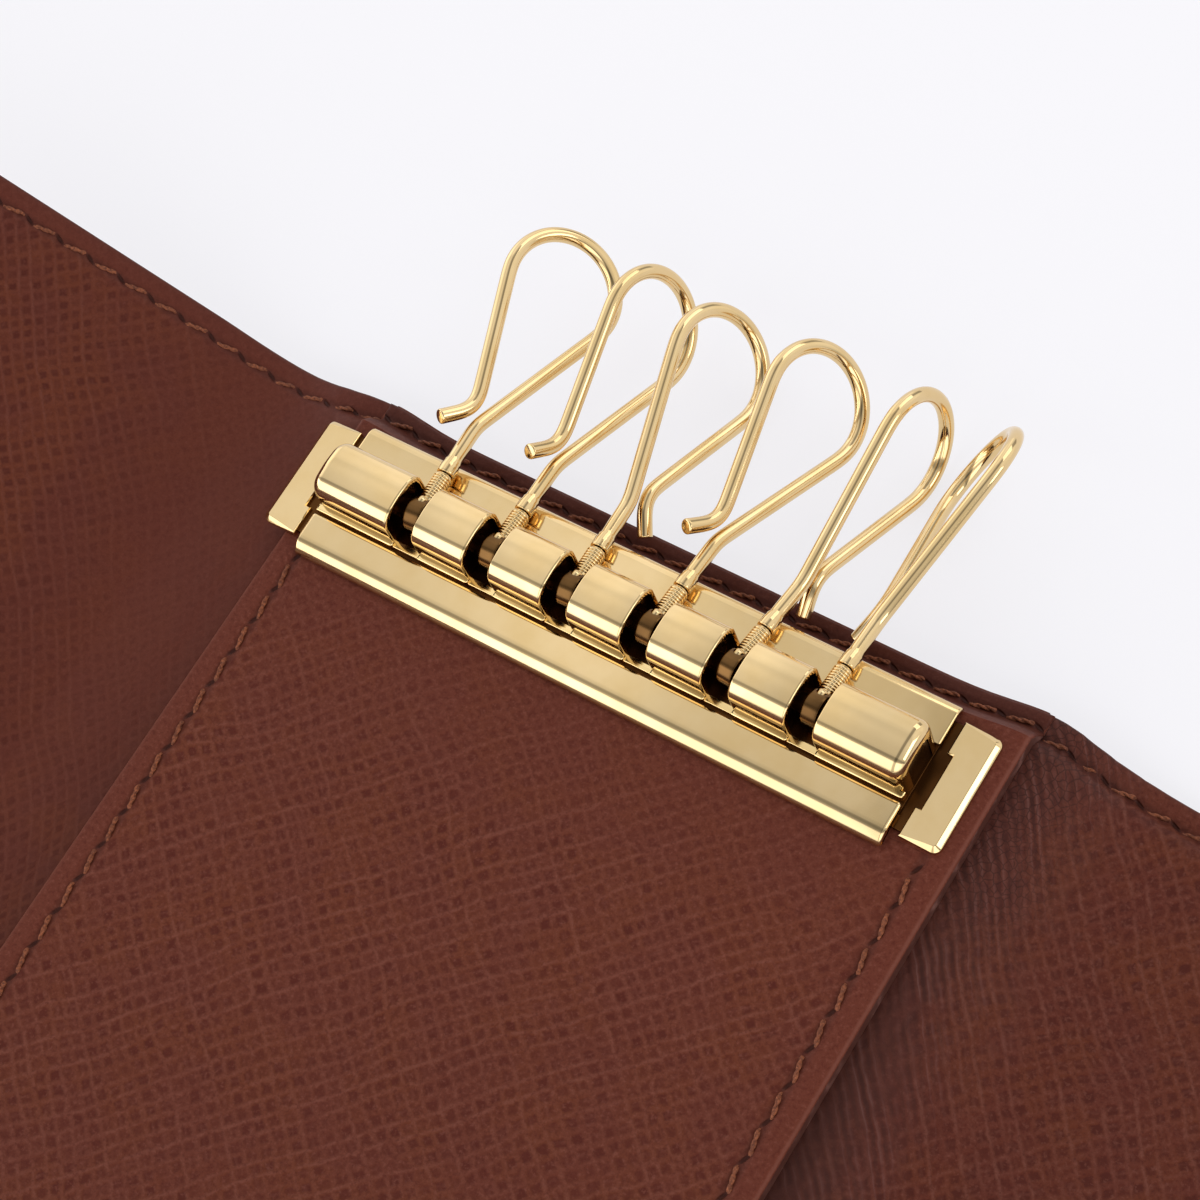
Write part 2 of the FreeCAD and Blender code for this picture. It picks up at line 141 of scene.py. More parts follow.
def edge_lines(low: float, high: float, step: float, rows: tuple[float, ...] = (),
               edge: float = 0.5) -> np.ndarray:
    """Grid lines over a span, close together at both edges and around rows of thread.

    Args:
        low: First line.
        high: Last line.
        step: Usual distance between lines.
        rows: Places of thread rows.
        edge: Width of the rounded edge.

    Returns:
        The sorted lines.
    """
    near = edge * np.array([0.0, 0.03, 0.1, 0.22, 0.4, 0.65, 1.0, 1.6])
    lines = [low + near, high - near]
    for row in rows:
        lines.append(row + np.linspace(-0.75, 0.75, 9))
    fixed = np.concatenate(lines)
    count = max(2, int(round((high - low) / step)))
    spread = np.linspace(low, high, count + 1)
    gaps = np.min(np.abs(spread[:, None] - fixed[None, :]), axis=1)
    kept = spread[gaps > 0.45 * step]
    merged = np.sort(np.concatenate([fixed, kept]))
    merged = merged[(merged >= low - 1e-9) & (merged <= high + 1e-9)]
    return merged[np.concatenate([[True], np.diff(merged) > 1e-4])]


class Shape:
    """Vertices and faces of one piece in mm, gathered part by part."""

    def __init__(self) -> None:
        """Start with nothing."""
        self.verts: list[np.ndarray] = []
        self.faces: list[tuple[int, ...]] = []
        self.marks: list[int] = []
        self.uvs: list[np.ndarray] = []
        self.rows: list[np.ndarray] = []
        self.tones: list[np.ndarray] = []
        self.plains: list[np.ndarray] = []
        self.count = 0

    def add(self, verts: np.ndarray, faces: list[tuple[int, ...]], uv: np.ndarray | None = None,
            row: np.ndarray | None = None, tone: np.ndarray | None = None, plain: np.ndarray | None = None,
            mark: int | list[int] = 0) -> None:
        """Add one part.

        Args:
            verts: Points, one per line.
            faces: Corner numbers of each face, within this part.
            uv: Texture place of each point in mm.
            row: Stitch number and distance from the thread row of each point.
            tone: Darkening of each point; above 0 much of it is painted shade, below 0 it is painted
                highlight.
            plain: Share of the grain that is rubbed flat at each point.
            mark: Number of the finish, for all faces or for each.
        """
        size = len(verts)
        base = self.count
        self.verts.append(np.asarray(verts, float))
        self.faces.extend(tuple(base + i for i in face) for face in faces)
        self.marks.extend([mark] * len(faces) if isinstance(mark, int) else mark)
        self.uvs.append(np.zeros((size, 2)) if uv is None else uv)
        self.rows.append(np.full((size, 2), NO_ROW) if row is None else row)
        self.tones.append(np.zeros(size) if tone is None else tone)
        self.plains.append(np.zeros(size) if plain is None else plain)
        self.count += size

    def slab(self, top: np.ndarray, bottom: np.ndarray, uv: np.ndarray, row: np.ndarray | None = None,
             tone: np.ndarray | None = None, plain: np.ndarray | None = None, edge_mark: int = 1,
             flip: bool = False) -> None:
        """Add a closed sheet between two grids of points.

        Args:
            top: Upper grid, as (lines, points, 3).
            bottom: Lower grid of the same size.
            uv: Texture place of each grid point.
            row: Stitch number and distance from the row at each grid point.
            tone: Darkening at each grid point; above 0 much of it is painted shade, below 0 it is painted
                highlight.
            plain: Share of the grain that is rubbed flat at each grid point.
            edge_mark: Number of the finish on the edge walls.
            flip: Turn the faces over, for a mirrored grid.
        """
        lines, points = top.shape[:2]
        size = lines * points
        index = np.arange(size).reshape(lines, points)
        a, b, c, d = index[:-1, :-1], index[1:, :-1], index[1:, 1:], index[:-1, 1:]
        upper = np.stack([a, b, c, d], axis=-1).reshape(-1, 4)
        lower = upper[:, ::-1] + size
        rim = np.concatenate([index[:, 0], index[-1, 1:], index[-2::-1, -1], index[0, -2:0:-1]])
        after = np.roll(rim, -1)
        walls = np.stack([rim, rim + size, after + size, after], axis=-1)
        faces = np.concatenate([upper, lower, walls])
        if flip:
            faces = faces[:, ::-1]
        marks = [0] * (2 * len(upper)) + [edge_mark] * len(walls)
        flat_uv = np.tile(uv.reshape(-1, 2), (2, 1))
        flat_row = None
        if row is not None:
            flat_row = np.concatenate([row.reshape(-1, 2), np.full((size, 2), NO_ROW)])
        both = []
        for values in (tone, plain):
            both.append(None if values is None else np.concatenate([values.reshape(-1), np.zeros(size)]))
        verts = np.concatenate([top.reshape(-1, 3), bottom.reshape(-1, 3)])
        self.add(verts, [tuple(f) for f in faces.tolist()], flat_uv, flat_row, both[0], both[1], marks)

    def loft(self, rings: np.ndarray, mark: int = 0) -> None:
        """Add a skin over closed rings of equal size, with flat ends.

        Args:
            rings: Points, as (rings, points, 3).
            mark: Number of the finish.
        """
        count, size = rings.shape[:2]
        faces: list[tuple[int, ...]] = []
        for ring in range(count - 1):
            here = ring * size
            for i in range(size):
                j = (i + 1) % size
                faces.append((here + i, here + j, here + size + j, here + size + i))
        faces.append(tuple(range(size - 1, -1, -1)))
        faces.append(tuple((count - 1) * size + i for i in range(size)))
        self.add(rings.reshape(-1, 3), faces, mark=mark)

    def bar_x(self, section: np.ndarray, x0: float, x1: float, ease: float, mark: int = 0) -> None:
        """Add a bar of one closed section along X, with eased ends.

        Args:
            section: Points (y, z) in order.
            x0: First end.
            x1: Second end.
            ease: Rounding of both ends.
            mark: Number of the finish.
        """
        inward = inset_normals(section)
        rings = []
        for end, way in ((x0, 1.0), (x1, -1.0)):
            part = []
            for turn in np.linspace(0.0, math.pi / 2, 5):
                points = section + inward * ease * (1.0 - math.sin(turn))
                x = end + way * ease * (1.0 - math.cos(turn))
                part.append(np.column_stack([np.full(len(points), x), points]))
            rings.extend(part if way > 0 else part[::-1])
        self.loft(np.array(rings), mark)

    def plate(self, outline: np.ndarray, z0: float, z1: float, ease: float | np.ndarray, mark: int = 0,
              flat: bool = False) -> None:
        """Add a plate of one closed outline in plan, its upper edge eased.

        Args:
            outline: Points (x, y), counter-clockwise.
            z0: Underside.
            z1: Upper face.
            ease: Rounding of the upper edge, for all points or for each.
            mark: Number of the finish.
            flat: Make the edge a flat bevel, a little lower than wide.
        """
        inward = inset_normals(outline)
        easing = np.broadcast_to(ease, len(outline))
        rings = [np.column_stack([outline, np.full(len(outline), z0)])]
        turns = np.linspace(0.0, math.pi / 2, 9)
        steps = FLAT_BEVEL if flat else [(1.0 - math.cos(turn), 1.0 - math.sin(turn)) for turn in turns]
        for inset, drop in steps:
            points = outline + inward * (easing * inset)[:, None]
            rings.append(np.column_stack([points, z1 - easing * drop]))
        self.loft(np.array(rings), mark)

    def tube(self, path: np.ndarray, radii: np.ndarray, sides: int) -> None:
        """Add a round wire along a path.

        Args:
            path: Points of the middle line.
            radii: Radius at each point.
            sides: Points round the wire.
        """
        tangent = np.gradient(path, axis=0)
        tangent /= np.linalg.norm(tangent, axis=1)[:, None]
        side = np.cross(tangent[0], [0.31, 0.27, 0.91])
        turns = np.linspace(0.0, 2.0 * math.pi, sides, endpoint=False)
        rings = []
        for point, way, radius in zip(path, tangent, radii):
            side = side - way * np.dot(side, way)
            side /= np.linalg.norm(side)
            up = np.cross(way, side)
            rings.append(point + radius * (np.cos(turns)[:, None] * side + np.sin(turns)[:, None] * up))
        self.loft(np.array(rings))

    def lathe(self, profile: list[tuple[float, float]], origin: Vector, axis: Vector, sides: int = 64,
              mark: int = 0) -> None:
        """Add a turned solid.

        Args:
            profile: Points (radius, height) from the lower middle to the upper middle.
            origin: Foot of the axis.
            axis: Direction of the axis.
            sides: Points round the axis.
            mark: Number of the finish.
        """
        turn = axis.normalized().to_track_quat("Z", "Y").to_matrix()
        angles = np.linspace(0.0, 2.0 * math.pi, sides, endpoint=False)
        rings = []
        for radius, height in profile:
            ring = np.column_stack([radius * np.cos(angles), radius * np.sin(angles), np.full(sides, height)])
            rings.append(ring @ np.array(turn).T + np.array(origin))
        self.loft(np.array(rings), mark)

    def moved(self, matrix: Matrix) -> "Shape":
        """Turn and move all points gathered so far.

        Args:
            matrix: The move, in mm.

        Returns:
            This shape.
        """
        grid = np.array(matrix)
        self.verts = [part @ grid[:3, :3].T + grid[:3, 3] for part in self.verts]
        return self

    def piece(self, name: str, slot: Slot, *materials: bpy.types.Material) -> bpy.types.Object:
        """Make the Blender object.

        Args:
            name: Name of the piece.
            slot: Slot of the record; not used.
            materials: Finishes, in the order of the marks.

        Returns:
            The object, in metres.
        """
        mesh = bpy.data.meshes.new(name)
        mesh.from_pydata((np.concatenate(self.verts) * MM).tolist(), [], self.faces)
        corner = np.empty(len(mesh.loops), dtype=np.int32)
        mesh.loops.foreach_get("vertex_index", corner)
        layers = {"grain": np.concatenate(self.uvs) / UV_MM, "row": np.concatenate(self.rows)}
        for title, values in layers.items():
            layer = mesh.uv_layers.new(name=title)
            layer.data.foreach_set("uv", values[corner].astype(np.float32).ravel())
        for title, values in (("tone", self.tones), ("plain", self.plains)):
            layer = mesh.attributes.new(title, "FLOAT", "POINT")
            layer.data.foreach_set("value", np.concatenate(values).astype(np.float32))
        for material in materials:
            mesh.materials.append(material)
        mesh.polygons.foreach_set("material_index", self.marks)
        mesh.polygons.foreach_set("use_smooth", [True] * len(mesh.polygons))
        mesh.update()
        mesh.set_sharp_from_angle(angle=math.radians(SHARP_ANGLE))
        obj = bpy.data.objects.new(name, mesh)
        bpy.context.scene.collection.objects.link(obj)
        LOG.info("%s: %d points", name, self.count)
        return obj


def inset_normals(outline: np.ndarray) -> np.ndarray:
    """Inward move of each outline point that brings all its sides in by one.

    Args:
        outline: Closed outline, counter-clockwise or clockwise.

    Returns:
        One move per point.
    """
    ahead = np.roll(outline, -1, axis=0) - outline
    ahead /= np.linalg.norm(ahead, axis=1)[:, None]
    back = np.roll(ahead, 1, axis=0)
    area = np.sum(outline[:, 0] * np.roll(outline[:, 1], -1) - outline[:, 1] * np.roll(outline[:, 0], -1))
    sign = 1.0 if area > 0 else -1.0
    first = sign * np.column_stack([-back[:, 1], back[:, 0]])
    second = sign * np.column_stack([-ahead[:, 1], ahead[:, 0]])
    total = first + second
    return total / np.maximum(1.0 + np.sum(first * second, axis=1), 0.25)[:, None]


def arc_points(middle: tuple[float, float], radius: float, start: float, end: float,
               count: int) -> list[list[float]]:
    """Points of an arc between two angles in degrees."""
    turns = np.radians(np.linspace(start, end, count))
    return [[middle[0] + radius * math.cos(t), middle[1] + radius * math.sin(t)] for t in turns]


def rounded_box(x0: float, x1: float, y0: float, y1: float,
                radii: tuple[float, float, float, float] = (0.1, 0.1, 0.1, 0.1)) -> np.ndarray:
    """Outline of a box with four round corners.

    Args:
        x0: Left side.
        x1: Right side.
        y0: Lower side.
        y1: Upper side.
        radii: Corner radii from the lower right, counter-clockwise.

    Returns:
        The outline's points, counter-clockwise.
    """
    corners = ((x1, y0, -1, 1, -90), (x1, y1, -1, -1, 0), (x0, y1, 1, -1, 90), (x0, y0, 1, 1, 180))
    points: list[list[float]] = []
    for (x, y, in_x, in_y, start), radius in zip(corners, radii):
        points += arc_points((x + in_x * radius, y + in_y * radius), radius, start, start + 90, 7)
    return np.array(points)


class Graph:
    """Node tree of one material, filled by short calls."""

    def __init__(self, name: str) -> None:
        """Start a material with a bare principled shader."""
        self.material = bpy.data.materials.new(name)
        self.material.use_nodes = True
        self.tree = self.material.node_tree
        self.shader = self.tree.nodes["Principled BSDF"]

    def node(self, kind: str, inputs: dict | None = None, **settings: object) -> bpy.types.Node:
        """Add a node, set its properties and feed its inputs.

        Args:
            kind: Node type without the ShaderNode prefix.
            inputs: Values or output sockets by input name or number.
            settings: Properties of the node.

        Returns:
            The node.
        """
        made = self.tree.nodes.new("ShaderNode" + kind)
        for key, value in settings.items():
            setattr(made, key, value)
        for key, value in (inputs or {}).items():
            self.feed(made.inputs[key], value)
        return made

    def feed(self, socket: bpy.types.NodeSocket, value: object) -> None:
        """Link an output to a socket, or set the socket's value."""
        if isinstance(value, bpy.types.NodeSocket):
            self.tree.links.new(value, socket)
        else:
            socket.default_value = value

    def math(self, operation: str, *values: object) -> bpy.types.NodeSocket:
        """Math node of one operation."""
        made = self.node("Math", dict(enumerate(values)), operation=operation)
        return made.outputs[0]

    def ramp(self, value: object, low: float, high: float, start: float = 0.0,
             end: float = 1.0) -> bpy.types.NodeSocket:
        """Smooth ramp of a value from start to end."""
        inputs = {"Value": value, "From Min": low, "From Max": high, "To Min": start, "To Max": end}
        return self.node("MapRange", inputs, interpolation_type="SMOOTHSTEP").outputs[0]

    def mix(self, share: object, first: object, second: object) -> bpy.types.NodeSocket:
        """Mix of two colours.

        Args:
            share: Share of the second colour.
            first: First colour.
            second: Second colour.

        Returns:
            The mixed colour.
        """
        made = self.node("Mix", data_type="RGBA")
        for socket, value in ((made.inputs[0], share), (made.inputs[6], first), (made.inputs[7], second)):
            self.feed(socket, value)
        return made.outputs[2]

    def noise(self, place: object, scale: float, detail: float = 3.0,
              rough: float = 0.55) -> bpy.types.NodeSocket:
        """Noise value at a scale."""
        inputs = {"Vector": place, "Scale": scale, "Detail": detail, "Roughness": rough}
        return self.node("TexNoise", inputs).outputs[0]

    def product(self, *values: object) -> bpy.types.NodeSocket:
        """Product of two or more values."""
        return reduce(lambda first, second: self.math("MULTIPLY", first, second), values)

    def vector(self, operation: str, first: object, second: object) -> bpy.types.NodeSocket:
        """Vector math node of one operation."""
        return self.node("VectorMath", {0: first, 1: second}, operation=operation).outputs[0]

    def chance(self, place: object) -> bpy.types.NodeSocket:
        """Chance value of a cell in plan."""
        return self.node("TexWhiteNoise", {"Vector": place}, noise_dimensions="2D").outputs[0]

    def value(self, title: str) -> bpy.types.NodeSocket:
        """Value that the mesh carries at each point."""
        return self.node("Attribute", attribute_name=title).outputs[2]

    def solid_place(self) -> bpy.types.NodeSocket:
        """Place in the part's own frame, in metres."""
        return self.node("TexCoord").outputs["Object"]

    def grain_place(self) -> bpy.types.NodeSocket:
        """Place on the leather in mm, from the grain's texture layer."""
        layer = self.node("UVMap", uv_map="grain").outputs[0]
        return self.node("Mapping", {"Vector": layer, "Scale": (UV_MM, UV_MM, UV_MM)}).outputs[0]

    def bump(self, height: object, distance: float) -> None:
        """Feed the shader's normal from a height that stands for a distance in mm."""
        inputs = {"Height": height, "Distance": distance * MM, "Strength": 1.0}
        self.feed(self.shader.inputs["Normal"], self.node("Bump", inputs).outputs[0])

    def set(self, **values: object) -> None:
        """Set shader inputs, with spaces written as underscores."""
        for key, value in values.items():
            self.feed(self.shader.inputs[key.replace("_", " ")], value)


def srgb(red: int, green: int, blue: int) -> Colour:
    """Linear colour of an sRGB triple.

    Args:
        red: Red level from 0 to 255.
        green: Green level.
        blue: Blue level.

    Returns:
        The colour, opaque.
    """
    parts = []
    for level in (red, green, blue):
        share = level / 255.0
        parts.append(share / 12.92 if share <= 0.04045 else ((share + 0.055) / 1.055) ** 2.4)
    return (parts[0], parts[1], parts[2], 1.0)


@dataclass(frozen=True)
class GrainedLeather:
    """Cross-grained lining leather: dark pits between two families of paler lines, pierced along its rows."""

    name: str
    first_turn: float
    second_turn: float
    first_line: float
    second_line: float
    first_pitch: float = 1.16
    second_pitch: float = 1.1
    fineness: float = 1.0
    base: Colour = srgb(95, 46, 33)
    warm: Colour = srgb(98, 48, 30)
    pit: Colour = srgb(78, 31, 22)
    # line also paints the highlight where the tone is below 0; hole and crease paint the shade in thread
    # holes, creases, furrows, cracks and row grooves, and crease also darkens the pores.
    line: Colour = srgb(117, 68, 55)
    rubbed: Colour = srgb(97, 47, 34)
    hole: Colour = srgb(36, 15, 11)
    crease: Colour = srgb(54, 28, 23)
    grain_height: float = 0.045
    hole_lean: float = 0.5
    crackle: float = 0.0
    rib_pitch: float = 0.8
    # Colours of the painted shade with a grey sheen beside the fold, and of the painted highlight on its
    # wrinkle ridges.
    fold_shade_sheen: Colour = srgb(82, 47, 41)
    ridge_highlight: Colour = srgb(114, 77, 70)

    def family(self, g: Graph, place: bpy.types.NodeSocket, turn: float, pitch: float,
               seed: float) -> tuple[bpy.types.NodeSocket, bpy.types.NodeSocket, bpy.types.NodeSocket]:
        """One family of lines.

        Args:
            g: Graph that takes the nodes.
            place: Warped place in mm.
            turn: Direction of the lines in degrees.
            pitch: Distance between lines in mm.
            seed: Number that sets this family's chances apart.

        Returns:
            Count of lines passed, distance to the next line in pitches, and a chance value of that line.
        """
        way = math.radians(turn)
        across = (-math.sin(way) / pitch, math.cos(way) / pitch, 0.0)
        count = g.node("VectorMath", {0: place, 1: across}, operation="DOT_PRODUCT").outputs[1]
        gap = g.math("PINGPONG", count, 0.5)
        chance = g.node("TexWhiteNoise", {"W": g.math("ADD", g.math("ROUND", count), seed)},
                        noise_dimensions="1D").outputs[0]
        return count, gap, chance

    def wander(self, g: Graph,
               place: bpy.types.NodeSocket) -> tuple[bpy.types.NodeSocket, bpy.types.NodeSocket]:
        """Places with the wander of the grain.

        Args:
            g: Graph that takes the nodes.
            place: Place in mm.

        Returns:
            The place with the long wander only, and the place with all of it.
        """
        warped = gentle = place
        for scale, reach in ((0.08, 2.4), (0.7, 0.34), (2.4, 0.22)):
            gentle = warped
            drift = g.node("TexNoise", {"Vector": place, "Scale": scale, "Detail": 1.0}).outputs[1]
            moved = g.vector("SUBTRACT", drift, (0.5, 0.5, 0.5))
            moved = g.node("VectorMath", {0: moved, "Scale": reach}, operation="SCALE").outputs[0]
            warped = g.vector("ADD", warped, moved)
        return gentle, warped

    def veins(self, g: Graph, cell: bpy.types.NodeSocket,
              counts: tuple[bpy.types.NodeSocket, bpy.types.NodeSocket]) -> bpy.types.NodeSocket:
        """Fine veins beside the lines, in some of the cells.

        Args:
            g: Graph that takes the nodes.
            cell: Number of the cell in both directions.
            counts: Lines passed, of both families.

        Returns:
            Strength of the veins.
        """
        thin = []
        for count, seed in zip(counts, (11.0, 31.0)):
            half = g.math("MULTIPLY_ADD", count, 2.0, 0.9)
            luck = g.chance(g.vector("ADD", cell, (seed, seed, 0.0)))
            vein = g.ramp(g.math("PINGPONG", half, 0.5), 0.0, 0.4, 1.0, 0.0)
            thin.append(g.product(vein, g.ramp(luck, 0.45, 0.9, 0.0, 0.42)))
        return g.product(g.math("MAXIMUM", thin[0], thin[1]), self.fineness)

    def crackled(self, g: Graph, place: bpy.types.NodeSocket, gentle: bpy.types.NodeSocket,
                 warped: bpy.types.NodeSocket, colour: bpy.types.NodeSocket) -> bpy.types.NodeSocket:
        """Wrinkled leather beside the fold, with painted shade and a grey sheen over it, painted shade in its
        furrows and cracks, and a painted highlight on its ridges.

        Args:
            g: Graph that takes the nodes.
            place: Place in mm.
            gentle: The same place with the grain's long wander.
            warped: The same place with all of its wander.
            colour: Colour of the smooth leather.

        Returns:
            Colour with the wrinkles.
        """
        out = g.node("SeparateXYZ", {0: warped}).outputs[0]
        out = g.math("MULTIPLY_ADD", g.noise(place, 0.22, 2.0), 9.0, out)
        zone = g.product(g.ramp(out, 34.5, 43.5, 1.0, 0.0), self.crackle)
        cells = g.node("TexVoronoi", {"Vector": warped, "Scale": 1.75, "Randomness": 1.0},
                       voronoi_dimensions="2D", feature="DISTANCE_TO_EDGE").outputs[0]
        cracks = g.product(g.ramp(cells, 0.02, 0.13, 1.0, 0.0), 0.85)
        _, gap, chance = self.family(g, gentle, self.second_turn - 3.0, self.rib_pitch, 91.0)
        held = g.product(zone, g.ramp(g.noise(place, 0.5, 2.0), 0.34, 0.56, 0.25, 1.0))
        furrow = g.product(g.ramp(gap, 0.06, 0.3, 1.0, 0.0), g.math("MULTIPLY_ADD", chance, 0.5, 0.45))
        ridge = g.product(g.ramp(gap, 0.26, 0.46), g.product(chance, 0.85))
        # Painted shade with sheen over the zone, painted shade in the furrows, painted highlight on the
        # ridges.
        colour = g.mix(g.product(zone, 0.45), colour, self.fold_shade_sheen)
        colour = g.mix(g.product(held, furrow), colour, self.crease)
        colour = g.mix(g.product(held, ridge), colour, self.ridge_highlight)
        # Painted shade in the cracks near the top.
        near = g.product(zone, g.ramp(g.node("SeparateXYZ", {0: place}).outputs[1], 30.0, 42.0))
        return g.mix(g.product(near, cracks), colour, self.crease)

    def pierced(self, g: Graph,
                colour: bpy.types.NodeSocket) -> tuple[bpy.types.NodeSocket, bpy.types.NodeSocket]:
        """Leaning thread holes, painted dark as shade in them, and painted shade along their grooved rows.

        Args:
            g: Graph that takes the nodes.
            colour: Colour of the whole leather.

        Returns:
            Colour with the holes, and the share of hole.
        """
        row = g.node("SeparateXYZ", {0: g.node("UVMap", uv_map="row").outputs[0]})
        leaned = g.math("MULTIPLY_ADD", row.outputs[1], -self.hole_lean, row.outputs[0])
        along = g.product(g.math("PINGPONG", leaned, 0.5), 2.2)
        across = g.math("ABSOLUTE", row.outputs[1])
        near = g.ramp(across, 0.1, 0.6, 1.0, 0.0)
        spot = g.math("ADD", g.math("POWER", along, 2.0), g.math("POWER", g.product(across, 0.9), 2.0))
        # The hole is painted dark: painted shade in it.
        hole = g.ramp(g.math("SQRT", spot), 0.1, 0.32, 1.0, 0.0)
        # Painted shade in the groove beside the row.
        colour = g.mix(g.product(near, 0.3), colour, self.crease)
        return g.mix(g.product(hole, 0.75), colour, self.hole), hole

    def material(self) -> bpy.types.Material:
        """Build the material."""
        g = Graph(self.name)
        place = g.grain_place()
        gentle, warped = self.wander(g, place)
        count_1, gap_1, chance_1 = self.family(g, warped, self.first_turn, self.first_pitch, 3.0)
        count_2, gap_2, chance_2 = self.family(g, warped, self.second_turn, self.second_pitch, 57.0)
        cell = g.node("CombineXYZ", {0: g.math("FLOOR", count_1), 1: g.math("FLOOR", count_2)}).outputs[0]
        flat = g.value("plain")
        shown = g.math("SUBTRACT", 1.0, flat)
        broken = g.noise(place, 0.8, 2.0)
        line = self.veins(g, cell, (count_1, count_2))
        for gap, chance, weight in ((gap_1, chance_1, self.first_line), (gap_2, chance_2, self.second_line)):
            share = g.product(g.math("MULTIPLY_ADD", chance, 0.75, 0.25), weight)
            line = g.math("MAXIMUM", line, g.product(g.ramp(gap, 0.03, 0.2, 1.0, 0.0), share))
        line = g.product(line, g.ramp(broken, 0.3, 0.62, 0.25, 1.0), shown)
        pit = g.product(g.ramp(gap_1, 0.12, 0.34), g.ramp(gap_2, 0.1, 0.32))
        pit = g.product(pit, g.math("MULTIPLY_ADD", g.chance(cell), 0.75, 0.25), shown)

        base = g.mix(g.ramp(g.noise(place, 0.16, 3.0), 0.4, 0.62), self.base, self.warm)
        base = g.mix(flat, base, self.rubbed)
        colour = g.mix(g.product(pit, 0.95), base, self.pit)
        colour = g.mix(g.product(line, 0.62), colour, self.line)
        specks = g.noise(place, 2.6, 3.0, 0.75)
        colour = g.mix(g.ramp(specks, 0.34, 0.5, 0.62 * self.fineness, 0.0), colour, self.pit)
        colour = g.mix(g.ramp(specks, 0.52, 0.68, 0.0, 0.5 * self.fineness), colour, self.line)
        pores = g.noise(place, 7.0, 2.0)
        colour = g.mix(g.ramp(pores, 0.3, 0.6, 0.16, 0.0), colour, self.crease)
        if self.crackle:
            colour = self.crackled(g, place, gentle, warped, colour)
        colour, hole = self.pierced(g, colour)
        # The tone paints shade in the crease colour where it is above 0, and paints a highlight in the line
        # colour where it is below 0.
        tone = g.value("tone")
        colour = g.mix(g.math("MAXIMUM", tone, 0.0), colour, self.crease)
        colour = g.mix(g.math("MAXIMUM", g.product(tone, -1.0), 0.0), colour, self.line)

        height = g.math("SUBTRACT", g.product(line, 0.7), g.product(pit, 0.8))
        height = g.math("ADD", height, g.product(pores, 0.3))
        height = g.math("SUBTRACT", height, g.product(hole, 3.0))
        g.bump(height, self.grain_height)
        rough = g.math("MULTIPLY_ADD", pit, 0.12, g.ramp(broken, 0.25, 0.8, 0.46, 0.56))
        g.set(Base_Color=colour, Roughness=rough, Specular_IOR_Level=0.1)
        return g.material


@dataclass(frozen=True)
class PlainLeather:
    """Smooth outer leather with a fine pebbled grain."""

    name: str = "outer_leather"
    dark: Colour = srgb(48, 27, 20)
    pale: Colour = srgb(72, 42, 32)
    pebble: float = 1.4

    def material(self) -> bpy.types.Material:
        """Build the material."""
        g = Graph(self.name)
        place = g.grain_place()
        pebbles = g.node("TexVoronoi", {"Vector": place, "Scale": self.pebble, "Randomness": 0.9},
                         voronoi_dimensions="2D", feature="SMOOTH_F1").outputs[0]
        fine = g.noise(place, 5.0, 3.0)
        patchy = g.noise(place, 0.09, 4.0)
        share = g.math("MULTIPLY_ADD", g.ramp(pebbles, 0.15, 0.75), 0.45, g.math("MULTIPLY", patchy, 0.6))
        colour = g.mix(share, self.pale, self.dark)
        height = g.math("MULTIPLY_ADD", fine, 0.35, g.math("SUBTRACT", 1.0, pebbles))
        g.bump(height, 0.07)
        g.set(Base_Color=colour, Roughness=g.ramp(fine, 0.3, 0.7, 0.4, 0.54), Specular_IOR_Level=0.3)
        return g.material


@dataclass(frozen=True)
class EdgePaint:
    """Dark paint on the cut edges of the leather."""

    name: str = "edge_paint"
    dark: Colour = srgb(26, 19, 19)
    worn: Colour = srgb(66, 40, 34)

    def material(self) -> bpy.types.Material:
        """Build the material."""
        g = Graph(self.name)
        place = g.solid_place()
        wear = g.noise(place, 900.0, 4.0)
        colour = g.mix(g.ramp(wear, 0.5, 0.75), self.dark, self.worn)
        g.bump(wear, 0.03)
        g.set(Base_Color=colour, Roughness=g.ramp(wear, 0.3, 0.7, 0.35, 0.6))
        return g.material


@dataclass(frozen=True)
class PolishedGold:
    """Polished plating with faint wipe marks; the dull dark copy is painted shade inside the bar, another
    dark copy is painted shade on the eyes' rings, and a brighter copy is painted light on the ledges.
    """

    name: str
    bright: Colour
    deep: Colour
    smooth: float
    hazy: float

    def material(self) -> bpy.types.Material:
        """Build the material."""
        g = Graph(self.name)
        place = g.solid_place()
        cloud = g.noise(place, 260.0, 3.0)
        wiped = {"Vector": place, "Rotation": (0.3, 0.2, 0.7), "Scale": (1.0, 14.0, 5.0)}
        marks = g.noise(g.node("Mapping", wiped).outputs[0], 420.0, 5.0, 0.7)
        colour = g.mix(g.ramp(cloud, 0.3, 0.75), self.bright, self.deep)
        haze = g.ramp(cloud, 0.3, 0.8, self.smooth, self.hazy)
        rough = g.math("ADD", haze, g.ramp(marks, 0.62, 0.85, 0.0, 0.08))
        waves = g.noise(place, 380.0, 1.0)
        g.bump(g.math("MULTIPLY_ADD", waves, 8.0, marks), 0.0012)
        g.set(Base_Color=colour, Metallic=1.0, Roughness=rough)
        return g.material


@dataclass(frozen=True)
class TwistedThread:
    """Waxed thread, its plies shaded by fine fibres."""

    name: str = "waxed_thread"
    pale: Colour = srgb(147, 84, 53)
    dark: Colour = srgb(91, 48, 31)

    def material(self) -> bpy.types.Material:
        """Build the material."""
        g = Graph(self.name)
        place = g.solid_place()
        fibre = g.noise(place, 5200.0, 3.0)
        darkening_share = g.noise(place, 160.0, 2.0)
        colour = g.mix(g.ramp(fibre, 0.3, 0.72), self.dark, self.pale)
        colour = g.mix(g.ramp(darkening_share, 0.45, 0.7, 0.0, 0.5), colour, self.dark)
        g.bump(fibre, 0.04)
        g.set(Base_Color=colour, Roughness=0.6, Specular_IOR_Level=0.25)
        return g.material


